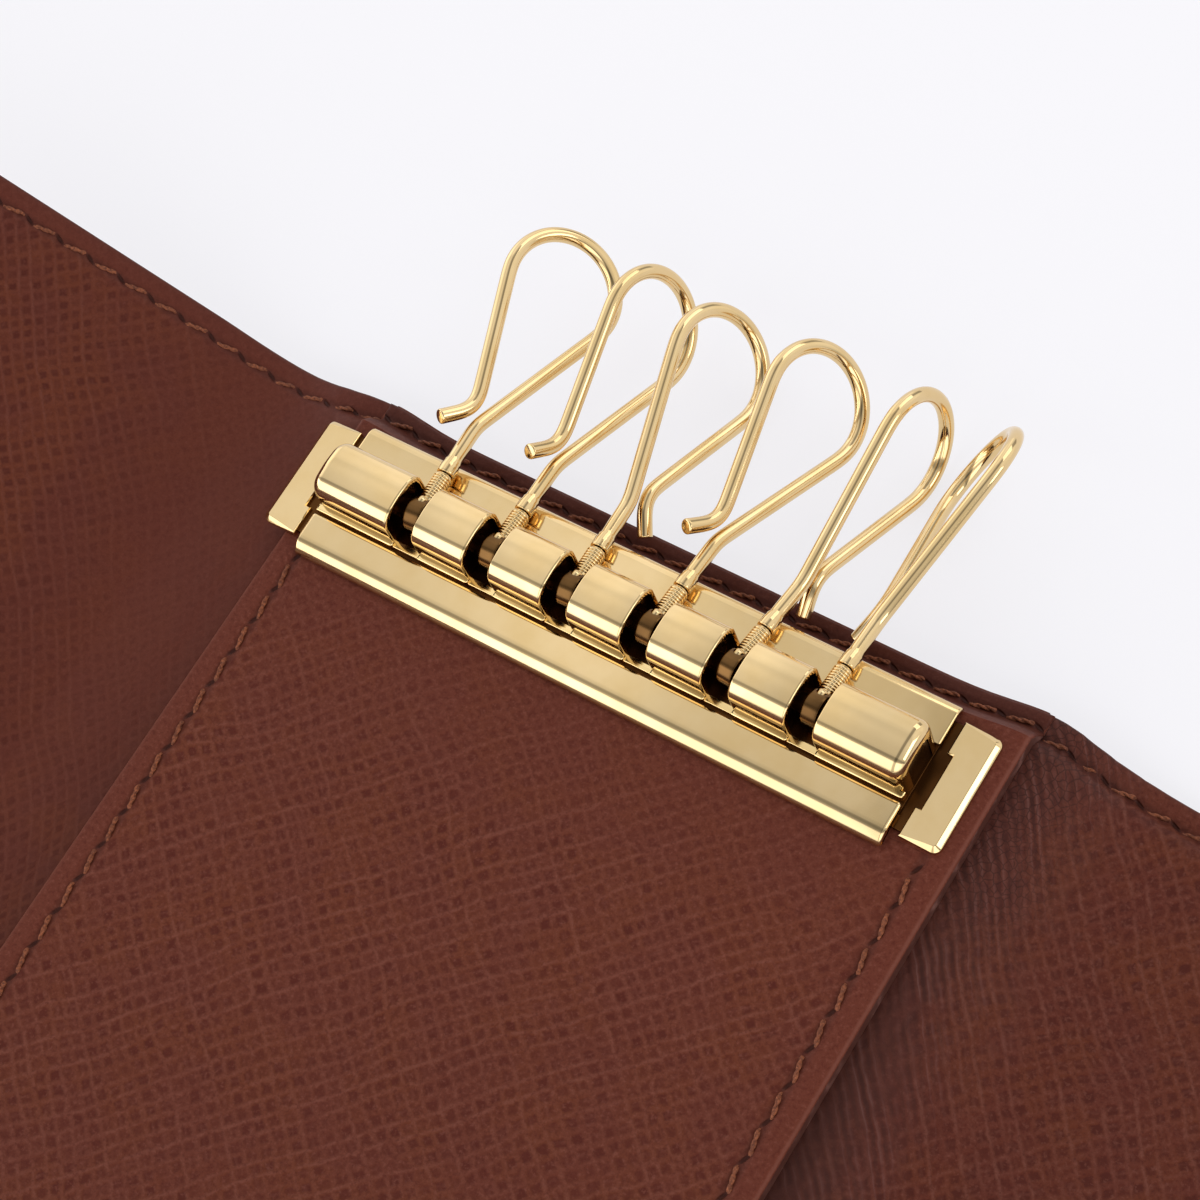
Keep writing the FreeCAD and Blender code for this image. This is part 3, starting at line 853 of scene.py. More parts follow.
@dataclass(frozen=True)
class PressedBoard:
    """Grey-brown stiffener board."""

    name: str = "pressed_board"
    pale: Colour = srgb(150, 132, 108)
    dark: Colour = srgb(112, 96, 78)

    def material(self) -> bpy.types.Material:
        """Build the material."""
        g = Graph(self.name)
        fibre = g.noise(g.solid_place(), 1500.0, 5.0)
        g.bump(fibre, 0.05)
        g.set(Base_Color=g.mix(g.ramp(fibre, 0.3, 0.7), self.dark, self.pale), Roughness=0.85)
        return g.material


class Finishes:
    """One of each finish, shared by the pieces."""

    def __init__(self) -> None:
        """Build all the materials."""
        self.patch = GrainedLeather("grained_patch", first_turn=46.0, second_turn=138.0, first_line=1.0,
                                    second_line=0.8).material()
        self.lining = GrainedLeather("grained_lining", first_turn=44.0, second_turn=130.0, first_line=0.4,
                                     second_line=0.9, first_pitch=1.0, second_pitch=0.97, fineness=0.6,
                                     base=srgb(89, 42, 31), warm=srgb(95, 46, 29), pit=srgb(74, 30, 21),
                                     line=srgb(106, 59, 47), rubbed=srgb(91, 44, 33)).material()
        self.fold_lining = GrainedLeather("grained_fold", first_turn=44.0, second_turn=131.0, first_line=0.55,
                                          second_line=1.0, first_pitch=1.12, second_pitch=1.1, crackle=0.9,
                                          base=srgb(86, 39, 28), warm=srgb(91, 43, 26), pit=srgb(70, 28, 20),
                                          line=srgb(110, 65, 53), rubbed=srgb(93, 45, 32)).material()
        self.outer = PlainLeather().material()
        self.edge = EdgePaint().material()
        self.patch_edge = EdgePaint("patch_edge", srgb(76, 42, 34), srgb(112, 72, 63)).material()
        # A brighter copy of the gold: painted light on the ledges.
        self.lit_gold = PolishedGold("painted_light_gold", bright=(0.98, 0.74, 0.36, 1.0), deep=(0.94, 0.67, 0.29, 1.0),
                                  smooth=0.08, hazy=0.14).material()
        self.gold = PolishedGold("polished_gold", bright=(0.785, 0.585, 0.31, 1.0),
                                 deep=(0.745, 0.535, 0.255, 1.0), smooth=0.07, hazy=0.13).material()
        # A dark copy of the gold: painted shade inside the bar, on its floor and on the axle.
        self.inside = PolishedGold("painted_shade_inside", bright=(0.095, 0.037, 0.01, 1.0),
                                   deep=(0.05, 0.02, 0.006, 1.0), smooth=0.22, hazy=0.36).material()
        # A dark copy of the gold: painted shade on the eyes' rings.
        self.eye_ring_shade = PolishedGold("painted_shade_eye_ring", bright=(0.17, 0.088, 0.03, 1.0),
                                   deep=(0.1, 0.05, 0.018, 1.0), smooth=0.18, hazy=0.3).material()
        self.thread = TwistedThread().material()
        self.board = PressedBoard().material()


@dataclass
class Stitching:
    """Twisted two-ply stitches laid along a row."""

    pitch: float = 2.9
    seen: float = 2.3
    ply: float = 0.125
    spread: float = 0.07
    crown: float = 0.07
    dip: float = 0.36
    twists: float = 1.6
    slant: float = 13.0
    rings: int = 19
    sides: int = 8

    def add(self, shape: Shape, at: np.ndarray, along: np.ndarray, up: np.ndarray) -> None:
        """Add one stitch per place.

        Args:
            shape: Shape that takes the stitches.
            at: Middle of each stitch on the leather.
            along: Direction of the row at each.
            up: Direction away from the leather at each.
        """
        share = np.linspace(0.0, 1.0, self.rings)
        rise = self.crown * np.sqrt(np.clip(1.0 - (2.0 * share - 1.0) ** 4, 0.0, 1.0))
        rise = rise - self.dip * np.abs(2.0 * share - 1.0) ** 7
        taper = 1.0 - 0.35 * np.abs(2.0 * share - 1.0) ** 6
        angles = np.linspace(0.0, 2.0 * math.pi, self.sides, endpoint=False)
        lean = math.radians(self.slant)
        for number, (point, ahead, out) in enumerate(zip(at, along, up)):
            out = out / np.linalg.norm(out)
            ahead = ahead - out * np.dot(ahead, out)
            ahead = ahead / np.linalg.norm(ahead)
            wide = np.cross(out, ahead)
            run = ahead * math.cos(lean) + wide * math.sin(lean)
            wide = np.cross(out, run)
            middle = point + ((share - 0.5) * self.seen)[:, None] * run + rise[:, None] * out
            for start in (0.0, math.pi):
                turn = 2.0 * math.pi * self.twists * share + start + 0.7 * number
                offset = np.cos(turn)[:, None] * wide + np.sin(turn)[:, None] * out
                centre = middle + self.spread * taper[:, None] * offset
                ring = np.cos(angles)[:, None, None] * wide + np.sin(angles)[:, None, None] * out
                rings = centre[:, None, :] + self.ply * taper[:, None, None] * ring.transpose(1, 0, 2)
                shape.loft(rings)

    def level_row(self, shape: Shape, at: np.ndarray, along: Point) -> None:
        """Add a straight row of stitches on a level face."""
        count = (len(at), 1)
        self.add(shape, at, np.tile(along, count), np.tile((0.0, 0.0, 1.0), count))

    def places(self, start: float, end: float) -> np.ndarray:
        """Middles of the stitches of a row, in step with its holes.

        Args:
            start: First place of the row.
            end: Last place.

        Returns:
            Distances along the row.
        """
        first = math.ceil(start / self.pitch - 0.5 + 1e-6)
        last = math.floor(end / self.pitch - 0.5 - 1e-6)
        return (np.arange(first, last + 1) + 0.5) * self.pitch


@dataclass
class CaseBack:
    """Fixed middle of the case: outer cover, lining and the patch that carries the bar."""

    finishes: Finishes
    stitching: Stitching
    half_x: float = 29.0
    half_y: float = 52.5
    cover_t: float = 1.3
    lining_t: float = 1.0
    patch_z: float = 4.8
    face_z: float = 6.3
    hem_z: float = 3.6
    hem_from_y: float = 49.2
    hem_to_y: float = 50.6
    hem_row_y: float = 51.0
    patch_half_x: float = 29.55
    patch_low_y: float = -49.0
    patch_high_y: float = 52.3
    patch_crown: float = 0.07
    margin_z: float = 3.9
    margin_from_y: float = 49.3
    margin_to_y: float = 50.9
    row_in: float = 2.2
    row_top_y: float = 38.7
    board_half_x: float = 28.7
    board_half_y: float = 49.0
    seam_gap: float = 0.02

    @property
    def row_x(self) -> float:
        """Distance of the patch's side rows from the middle."""
        return self.patch_half_x - self.row_in

    @property
    def row_low_y(self) -> float:
        """Place of the patch's lower row."""
        return self.patch_low_y + self.row_in

    def hem_drop(self, y: np.ndarray) -> np.ndarray:
        """Share of the way down to the hem at a place along Y."""
        return smoothstep(self.hem_from_y, self.hem_to_y, np.abs(y))

    def lining_top(self, y: np.ndarray) -> np.ndarray:
        """Height of the lining's face at a place along Y."""
        return self.patch_z + (self.hem_z - self.patch_z) * self.hem_drop(y)

    def patch_face(self, y: np.ndarray) -> np.ndarray:
        """Height of the patch's face along Y, down to its thinned margin at the top edge."""
        drop = smoothstep(self.margin_from_y, self.margin_to_y, y)
        return self.face_z + (self.margin_z - self.face_z) * drop

    def build(self) -> None:
        """Build and dress all pieces."""
        self.cover()
        self.lining()
        self.hem_stitches()
        self.patch()
        self.patch_stitches()
        dress_node("stiffener_board", self.finishes.board)

    def sheet(self, x: np.ndarray, y: np.ndarray, top: np.ndarray, low: np.ndarray,
              **values: np.ndarray) -> Shape:
        """Closed sheet between two heights, its hems swelling over the folds.

        Args:
            x: Grid of places along X.
            y: Grid of places along Y.
            top: Height of the upper face.
            low: Height of the lower face.
            values: Thread row, tone and plain share of the grid's points.

        Returns:
            The sheet.
        """
        shape = Shape()
        wide = y * swell(x)
        shape.slab(np.stack([x, wide, top], -1), np.stack([x, wide, low], -1), np.stack([x, y], -1), **values)
        return shape

    def cover(self) -> None:
        """Outer cover of the back, hollow where the board lies."""
        rim = np.array([-0.06, 0.06])
        xs = np.sort(np.concatenate([edge_lines(-self.half_x, self.half_x, 1.0),
                                     self.board_half_x + rim, -self.board_half_x + rim]))
        ys = np.sort(np.concatenate([edge_lines(-self.half_y, self.half_y, 1.0),
                                     self.board_half_y + rim, -self.board_half_y + rim]))
        x, y = np.meshgrid(xs, ys, indexing="ij")
        inside = (np.abs(x) < self.board_half_x) & (np.abs(y) < self.board_half_y)
        top = np.where(inside, self.cover_t, self.lining_top(y) - (self.lining_t + self.seam_gap))
        low = round_drop(self.half_y - np.abs(y), 0.6)
        shape = self.sheet(x, y, top, low)
        obj = shape.piece("back_cover_skin", Slot.OUTER, self.finishes.outer, self.finishes.edge)
        on_back(obj, "back_cover")

    def lining(self) -> None:
        """Lining of the back with its two thread rows."""
        xs = edge_lines(-self.half_x, self.half_x, 1.5)
        ys = edge_lines(-self.half_y, self.half_y, 0.8, (-self.hem_row_y, self.hem_row_y))
        x, y = np.meshgrid(xs, ys, indexing="ij")
        across = np.abs(y) - self.hem_row_y
        top = self.lining_top(y) - groove(across, 0.14, 0.32) - round_drop(self.half_y - np.abs(y), 0.4)
        row = np.stack([x / self.stitching.pitch, -np.sign(y) * across], -1)
        shape = self.sheet(x, y, top, self.lining_top(y) - self.lining_t, row=row)
        obj = shape.piece("back_lining_skin", Slot.LINING, self.finishes.lining, self.finishes.edge)
        on_back(obj, "back_lining")

    def hem_stitches(self) -> None:
        """Stitches of the lower hem, and of the upper one on the patch's margin."""
        spots = self.stitching.places(-self.half_x, self.half_x)
        low = np.column_stack([spots, -self.hem_row_y * swell(spots), np.full_like(spots, self.hem_z - 0.1)])
        high = low * [1.0, -1.0, 1.0] + [0.0, 0.0, self.margin_z - self.hem_z]
        shape = Shape()
        for at in (low, high):
            self.stitching.level_row(shape, at, (1.0, 0.0, 0.0))
        obj = shape.piece("hem_stitches", Slot.THREAD, self.finishes.thread)
        on_back(obj, "hem_thread")

    def patch_rows(self, x: np.ndarray, y: np.ndarray) -> tuple[np.ndarray, np.ndarray, np.ndarray]:
        """Nearest thread row at each point of the patch.

        Args:
            x: Grid of places along X.
            y: Grid of places along Y.

        Returns:
            Stitch number along the row, signed distance from it, and plain distance.
        """
        pitch = self.stitching.pitch
        low_across = self.row_low_y - y
        top_across = y - self.hem_row_y
        beside = np.where((y > self.row_low_y - 0.6) & (y < self.row_top_y), 0.0, NO_ROW)
        below = np.where(np.abs(x) < self.row_x + 0.6, 0.0, NO_ROW)
        side_gap = np.abs(np.abs(x) - self.row_x) + beside
        gaps = np.stack([side_gap, np.abs(low_across) + below, np.abs(top_across)])
        pick = np.argmin(gaps, axis=0)
        along = np.choose(pick, [(y - self.row_low_y) / pitch, (x + self.row_x) / pitch, x / pitch])
        signed = np.choose(pick, [x - np.sign(x) * self.row_x, low_across, -top_across])
        return along, signed, np.min(gaps, axis=0)

    def patch(self) -> None:
        """Patch under the bar."""
        xs = edge_lines(-self.patch_half_x, self.patch_half_x, 0.6, (-self.row_x, self.row_x))
        ys = edge_lines(self.patch_low_y, self.patch_high_y, 0.6, (self.row_low_y, self.hem_row_y))
        x, y = np.meshgrid(xs, ys, indexing="ij")
        margin = np.minimum(self.patch_half_x - np.abs(x), y - self.patch_low_y)
        edge = np.minimum(margin, self.patch_high_y - y)
        along, signed, across = self.patch_rows(x, y)
        pillow = self.patch_crown * smoothstep(0.0, 1.6, edge)
        top = self.patch_face(y) - self.patch_crown + pillow - groove(across, 0.17) - round_drop(edge, 0.34)
        low = np.where(y > self.board_half_y, self.lining_top(y), self.patch_z) + self.seam_gap
        # Painted highlight: a pale line just inside the patch's rounded edge. The patch is also darker over
        # its top margin and towards low Y and high X.
        tone = -0.75 * np.exp(-((edge - 0.12) / 0.14) ** 2) * (y < 49.5)
        tone = tone + 0.5 * smoothstep(49.2, 50.4, y) + 0.08 * (1.0 - smoothstep(-8.0, 20.0, y - 0.4 * x))
        plain = 1.0 - smoothstep(self.row_in - 0.3, self.row_in + 0.8, margin)
        plain = np.maximum(plain, smoothstep(49.0, 50.2, y))
        plain = np.maximum(plain, 0.55 * smoothstep(24.0, 38.0, y))
        row = np.stack([along, signed], -1)
        shape = self.sheet(x, y, top, low, row=row, tone=tone, plain=0.9 * plain)
        obj = shape.piece("patch_skin", Slot.LINING, self.finishes.patch, self.finishes.patch_edge)
        on_back(obj, "bar_patch")

    def patch_stitches(self) -> None:
        """Stitches along both sides and the lower edge of the patch."""
        shape = Shape()
        height = self.face_z - 0.12
        spots = self.stitching.places(0.0, self.row_top_y - self.row_low_y) + self.row_low_y
        for way in (-1.0, 1.0):
            at = np.column_stack([np.full_like(spots, way * self.row_x), spots, np.full_like(spots, height)])
            self.stitching.level_row(shape, at, (0.0, 1.0, 0.0))
        spots = self.stitching.places(0.0, 2 * self.row_x) - self.row_x
        at = np.column_stack([spots, np.full_like(spots, self.row_low_y), np.full_like(spots, height)])
        self.stitching.level_row(shape, at, (1.0, 0.0, 0.0))
        obj = shape.piece("patch_stitches", Slot.THREAD, self.finishes.thread)
        on_back(obj, "patch_thread")


@dataclass
class Wing:
    """One wing: a curved spine and a flat flap that fold round the keys.

    Attributes:
        title: Name of the wing in its bodies, nodes and pieces.
        side: 1 for the right wing, -1 for the left one.
        chord: Straight width of the spine.
        slope: Rise of that width in degrees.
        arc: Turn of the spine's curve in degrees.
        flap_slope: Rise of the flap in degrees.
        flap_length: Length of the flap.
        wrinkle: Height of the creases beside the patch.
        shade: Darkening down in the fold.
        hem_run: Lengths between which the hem comes up from the back's height.
        flare: Share by which the wing widens away from the back.
        rubbed: Share of the grain that is rubbed flat near the back.
        darkening_share: Darkening towards low Y.
        socket: Place of the press stud's socket on the flap, 0 where it has none.
    """

    finishes: Finishes
    stitching: Stitching
    back: CaseBack
    title: str
    side: int
    chord: float
    slope: float
    arc: float
    flap_slope: float
    flap_length: float
    wrinkle: float
    shade: float
    hem_run: tuple[float, float]
    flare: float
    rubbed: float
    darkening_share: float
    socket: float = 0.0
    fold_x: float = 32.1
    fold_z: float = 3.1
    half_t: float = 1.15
    lining_t: float = 1.0
    half_y: float = 52.4
    corner: float = 7.0
    row_in: float = 1.9
    bend_reach: float = 1.8
    start_x: float = 29.0
    level_x: float = 30.9
    path_step: float = 0.1
    path_spread: int = 24

    def __post_init__(self) -> None:
        """Work out the fold lines and the paths of the two faces."""
        lift = math.radians(self.slope)
        tip = math.radians(self.flap_slope)
        self.radius = self.chord / (2 * math.sin(math.radians(self.arc / 2)))
        drop = math.sqrt(self.radius ** 2 - (self.chord / 2) ** 2)
        self.near = np.array([self.fold_x, self.fold_z])
        way = np.array([math.cos(lift), math.sin(lift)])
        self.far = self.near + self.chord * way
        self.middle = (self.near + self.far) / 2 + drop * np.array([-way[1], way[0]])
        self.flap_way = np.array([math.cos(tip), math.sin(tip)])
        self.top = self.path(self.half_t, self.back.patch_z)
        self.low = self.path(-self.half_t, 0.0)
        halfway = self.on_arc(lift, self.radius)
        self.seam = self.length_at(self.top, halfway)
        self.low_seam = self.length_at(self.low, halfway)
        self.end = self.top[-1, 2]

    def on_arc(self, turn: float, radius: float) -> np.ndarray:
        """Point of a circle round the middle of the spine's curve."""
        return self.middle + radius * np.array([math.sin(turn), -math.cos(turn)])

    def path(self, offset: float, start_z: float) -> np.ndarray:
        """Path of one face from the back to the flap's end.

        Args:
            offset: Distance of the face from the middle of the wing.
            start_z: Height where the face leaves the back.

        Returns:
            Points (x, z, length), the length counted from the start.
        """
        step, spread = self.path_step, self.path_spread
        points = [np.array([x, start_z]) for x in np.arange(self.start_x - 4.0, self.level_x, step)]
        half = self.arc / 2
        turns = np.radians(np.linspace(self.slope - half, self.slope + half, int(self.chord / step)))
        points += [self.on_arc(turn, self.radius - offset) for turn in turns]
        out = np.array([-self.flap_way[1], self.flap_way[0]]) * offset
        reaches = np.arange(step, self.flap_length + step / 2, step)
        points += [self.far + out + reach * self.flap_way for reach in reaches]
        line = even_path(np.array(points), step)
        weights = np.exp(-0.5 * (np.arange(-spread, spread + 1) / 8.0) ** 2)
        weights /= weights.sum()
        padded = np.concatenate([np.tile(line[:1], (spread, 1)), line, np.tile(line[-1:], (spread, 1))])
        smooth = np.stack([np.convolve(padded[:, i], weights, "valid") for i in range(2)], -1)
        number = np.arange(len(line))
        share = smoothstep(0.0, 2.5, np.minimum(number, number[::-1]) * step)
        line = line + share[:, None] * (smooth - line)
        line = line[line[:, 0] >= self.start_x - 1e-6]
        return np.column_stack([line, lengths(line)])

    def length_at(self, path: np.ndarray, point: np.ndarray) -> float:
        """Length along a path at its point nearest to another."""
        return float(path[np.argmin(np.linalg.norm(path[:, :2] - point, axis=1)), 2])

    def face(self, path: np.ndarray, run: np.ndarray) -> tuple[np.ndarray, np.ndarray]:
        """Points and upward normals of a path, in the wing's own XZ plane.

        Args:
            path: Path of the face.
            run: Lengths along it.

        Returns:
            The points and the normals.
        """
        x = np.interp(run, path[:, 2], path[:, 0])
        z = np.interp(run, path[:, 2], path[:, 1])
        ahead = np.gradient(path[:, :2], path[:, 2], axis=0)
        ax = np.interp(run, path[:, 2], ahead[:, 0])
        az = np.interp(run, path[:, 2], ahead[:, 1])
        size = np.hypot(ax, az)
        return np.stack([x, z], -1), np.stack([-az / size, ax / size], -1)

    def inner_face(self, run: np.ndarray, y: np.ndarray) -> tuple[np.ndarray, np.ndarray]:
        """Points and normals of the lining's face, brought down at the hems."""
        plane, normal = self.face(self.top, run)
        return plane - np.stack([np.zeros_like(run), self.hem(run, y)], -1), normal

    def placed(self, plane: np.ndarray, y: np.ndarray) -> np.ndarray:
        """Points of the part from the wing's own plane and a place along Y."""
        widen = swell(plane[..., 0]) + self.flare * smoothstep(31.0, 46.0, plane[..., 0])
        return np.stack([self.side * plane[..., 0], y * widen, plane[..., 1]], -1)

    def half_at(self, run: np.ndarray) -> np.ndarray:
        """Half width of the wing at a length, round at the flap's corners."""
        gap = np.clip(self.corner - (self.end - run), 0.0, self.corner)
        return self.half_y - self.corner + np.sqrt(np.maximum(self.corner ** 2 - gap ** 2, 0.0))

    def edge_gap(self, run: np.ndarray, y: np.ndarray) -> np.ndarray:
        """Distance inside the wing's free edge.

        Args:
            run: Length along the wing.
            y: Place across the wing.

        Returns:
            The distances.
        """
        end_gap = self.end - run
        side_gap = self.half_y - np.abs(y)
        in_corner = (end_gap < self.corner) & (side_gap < self.corner)
        round_gap = self.corner - np.hypot(self.corner - end_gap, self.corner - side_gap)
        return np.where(in_corner, round_gap, np.minimum(end_gap, side_gap))

    def row_at(self, run: np.ndarray, y: np.ndarray) -> tuple[np.ndarray, np.ndarray]:
        """Stitch number along the thread row and distance from it.

        Args:
            run: Length along the wing.
            y: Place across the wing.

        Returns:
            The stitch numbers and the distances.
        """
        straight = self.end - self.corner
        bend = self.corner - self.row_in
        inner = self.half_y - self.corner
        angle = np.arctan2(np.maximum(run - straight, 0.0), np.maximum(np.abs(y) - inner, 1e-9))
        side_run = np.minimum(run, straight) + bend * angle
        end_run = straight + bend * math.pi / 2 + inner - np.abs(y)
        at_end = (run > straight) & (np.abs(y) < inner)
        at_end = at_end & (self.end - run < self.half_y - np.abs(y))
        along = np.where(at_end, end_run, side_run)
        return along / self.stitching.pitch, self.edge_gap(run, y) - self.row_in

    def row_place(self, along: float, way: float) -> tuple[float, float, float, float]:
        """One place of the thread row.

        Args:
            along: Distance along the row.
            way: 1 for the upper half of the wing, -1 for the lower one.

        Returns:
            Length along the wing, place across it, and the row's direction in both.
        """
        straight = self.end - self.corner
        bend = self.corner - self.row_in
        turn = bend * math.pi / 2
        inner = self.half_y - self.corner
        if along <= straight:
            return along, way * (self.half_y - self.row_in), 1.0, 0.0
        if along <= straight + turn:
            angle = (along - straight) / bend
            run = straight + bend * math.sin(angle)
            return run, way * (inner + bend * math.cos(angle)), math.cos(angle), -way * math.sin(angle)
        return self.end - self.row_in, way * (inner - (along - straight - turn)), 0.0, -way

    def lift(self, run: np.ndarray, y: np.ndarray) -> np.ndarray:
        """Soft waves of the flap and creases beside the patch.

        Args:
            run: Length along the wing.
            y: Place across the wing.

        Returns:
            Heights above the smooth face.
        """
        wave = 0.16 * np.sin(run / 9.0 + 0.4) * np.sin(y / 23.0 + 1.0 + run / 60.0)
        wave = wave * smoothstep(4.0, 16.0, run) * smoothstep(0.0, 6.0, self.edge_gap(run, y))
        sway = 0.9 * np.sin(y / 7.3) + 0.5 * np.sin(y / 3.1 + 1.2) + 0.22 * np.sin(y / 1.3 + run)
        near = smoothstep(0.8, 2.6, run) * (1.0 - smoothstep(5.0, 10.5, run + 1.2 * np.sin(y / 11.0)))
        fold = np.abs(np.sin(1.5 * run + sway)) ** 0.6
        fold = fold + 0.6 * np.abs(np.sin(2.6 * run - 0.35 * y + 0.8 * sway)) ** 0.7
        return wave + self.wrinkle * near * (fold - 0.9)

    def hem(self, run: np.ndarray, y: np.ndarray) -> np.ndarray:
        """Drop towards the hem where the wing leaves the back."""
        depth = self.back.patch_z - self.back.hem_z
        return depth * self.back.hem_drop(y) * (1.0 - smoothstep(*self.hem_run, run))

    def darkened(self, run: np.ndarray, y: np.ndarray, edge: np.ndarray, raised: np.ndarray) -> np.ndarray:
        """Tone of the lining: a darker free edge, painted shade in the crease troughs and down in the fold, a
        painted highlight on the crease crests, and darker towards low Y.

        Args:
            run: Length along the wing.
            y: Place across the wing.
            edge: Distance inside the free edge.
            raised: Height above the smooth face.

        Returns:
            Darkening, below 0 where the crease crests take a painted highlight.
        """
        near = run < 11.0
        low = 0.35 + 0.65 * smoothstep(44.0, 12.0, y)
        # Darker free edge, and painted shade in the crease troughs.
        tone = 0.28 * np.exp(-edge / 0.25) + 1.6 * np.clip(-raised, 0.0, 0.25) * near
        # Painted shade down in the fold.
        tone = tone + self.shade * (1.0 - smoothstep(0.8, 6.5, run)) * low
        # Painted highlight on the crease crests.
        tone = tone - 1.2 * np.clip(raised, 0.0, 0.2) * near
        # Darker towards low Y.
        return tone + self.darkening_share * (1.0 - smoothstep(5.0, 35.0, y))

    def grid(self, part: Part, step: float, fine: bool) -> tuple[np.ndarray, np.ndarray]:
        """Grid of lengths and places across one part.

        Args:
            part: Part of the wing.
            step: Usual distance between lines.
            fine: Add lines beside the thread rows.

        Returns:
            The lengths and the places across, as grids.
        """
        row = self.half_y - self.row_in
        across = edge_lines(-self.half_y, self.half_y, step, (-row, row) if fine else ())
        if part is Part.FOLD:
            runs = np.linspace(0.0, self.seam, max(4, int(self.seam / min(step, 0.45))))
        else:
            end = self.end
            straight = edge_lines(self.seam, end, step, (end - self.row_in,) if fine else ())
            bend = end - self.corner * (1.0 - np.sin(np.linspace(0.0, math.pi / 2, 30)))
            ahead, last = straight[straight < end - self.corner], straight[straight > end - 2.8]
            runs = np.unique(np.round(np.concatenate([ahead, bend, last]), 4))
        run, share = np.meshgrid(runs, across / self.half_y, indexing="ij")
        return run, share * self.half_at(run)

    def build(self) -> None:
        """Build and dress the layers and the thread of both parts."""
        for layer in (self.lining, self.cover, self.threads):
            for part in Part:
                layer(part)

    def dress(self, obj: bpy.types.Object, part: Part, layer: str) -> None:
        """Fix a piece's world place into its points and let it stand for a node.

        Args:
            obj: The piece.
            part: Part of the wing.
            layer: Last word of the node's name.
        """
        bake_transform(obj)
        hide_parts(f"{self.title}_{part.value[1]}_{layer}")

    def lining(self, part: Part) -> None:
        """Lining of one part, dimpled where the socket sits."""
        run, y = self.grid(part, 0.55, True)
        along, across = self.row_at(run, y)
        edge = self.edge_gap(run, y)
        plane, normal = self.inner_face(run, y)
        sink = groove(across, 0.16) + round_drop(edge, 0.42) + 0.1 * np.exp(-edge / 0.9)
        raised = self.lift(run, y)
        if self.socket:
            middle = self.length_at(self.top, self.far + self.socket * self.flap_way)
            sink = sink + 0.93 * (1.0 - smoothstep(2.35, 2.85, np.hypot(run - middle, y)))
        top = self.placed(plane + normal * (raised - sink)[..., None], y)
        low = self.placed(plane - normal * (self.lining_t - self.back.seam_gap), y)
        uv = np.stack([self.side * (run + self.start_x), y], -1)
        row = np.stack([along, self.side * np.sign(y) * across], -1)
        worn = self.rubbed * (0.25 + 0.75 * smoothstep(6.0, 32.0, y))
        worn = worn * (1.0 - smoothstep(6.0, 22.0, run - 0.1 * y))
        plain = np.maximum(0.8 * (1.0 - smoothstep(1.4, 2.6, edge)), worn)
        shape = Shape()
        shape.slab(top, low, uv, row, self.darkened(run, y, edge, raised), plain, flip=self.side < 0)
        leather = self.finishes.lining if self.side < 0 else self.finishes.fold_lining
        name = f"{self.title}_{part.value[0]}_lining_skin"
        obj = shape.piece(name, Slot.LINING, leather, self.finishes.edge)
        self.dress(obj, part, "lining")

    def cover(self, part: Part) -> None:
        """Outer cover of one part."""
        run, y = self.grid(part, 1.0, False)
        inner, inner_normal = self.inner_face(run, y)
        if part is Part.FOLD:
            low_run = run * (self.low_seam / self.seam)
        else:
            low_span = self.low[-1, 2] - self.low_seam
            low_run = self.low_seam + (run - self.seam) * low_span / (self.end - self.seam)
        outer, outer_normal = self.face(self.low, low_run)
        raised = self.lift(run, y) * smoothstep(10.0, 16.0, run)
        eased_edge = round_drop(self.edge_gap(run, y), 0.5)
        low = self.placed(outer + outer_normal * (eased_edge + raised)[..., None], y)
        top = self.placed(inner + inner_normal * (np.minimum(raised, 0.0) - self.lining_t)[..., None], y)
        uv = np.stack([self.side * (run + self.start_x), y], -1)
        shape = Shape()
        shape.slab(top, low, uv, flip=self.side < 0)
        name = f"{self.title}_{part.value[0]}_cover_skin"
        obj = shape.piece(name, Slot.OUTER, self.finishes.outer, self.finishes.edge)
        self.dress(obj, part, "cover")

    def threads(self, part: Part) -> None:
        """Stitches of one part, those of the flap as far as the middle of its end."""
        turn = (self.corner - self.row_in) * math.pi / 2
        row_end = self.end - self.corner + turn + self.half_y - self.corner
        start, end = (0.0, self.seam) if part is Part.FOLD else (self.seam, row_end)
        shape = Shape()
        for way in (-1.0, 1.0):
            spots = [self.row_place(along, way) for along in self.stitching.places(start, end)]
            run, y, ahead_run, ahead_y = np.array(spots).T
            plane, normal = self.inner_face(run, y)
            sink = 0.23 - self.lift(run, y)
            at = self.placed(plane - normal * sink[:, None], y)
            ahead = np.stack([self.side * normal[:, 1] * ahead_run, ahead_y, -normal[:, 0] * ahead_run], -1)
            up = np.stack([self.side * normal[:, 0], np.zeros_like(run), normal[:, 1]], -1)
            self.stitching.add(shape, at, ahead, up)
        obj = shape.piece(f"{self.title}_{part.value[0]}_stitches", Slot.THREAD, self.finishes.thread)
        self.dress(obj, part, "thread")

    def stud_frame(self, place: float) -> tuple[Vector, Vector]:
        """Seat of a press stud's half.

        Args:
            place: Distance along the flap.

        Returns:
            Point on the middle of the flap, and the direction away from its lining.
        """
        spot = self.far + place * self.flap_way
        axis = Vector((-self.side * self.flap_way[1], 0.0, self.flap_way[0]))
        return Vector((self.side * spot[0], 0.0, spot[1])), axis


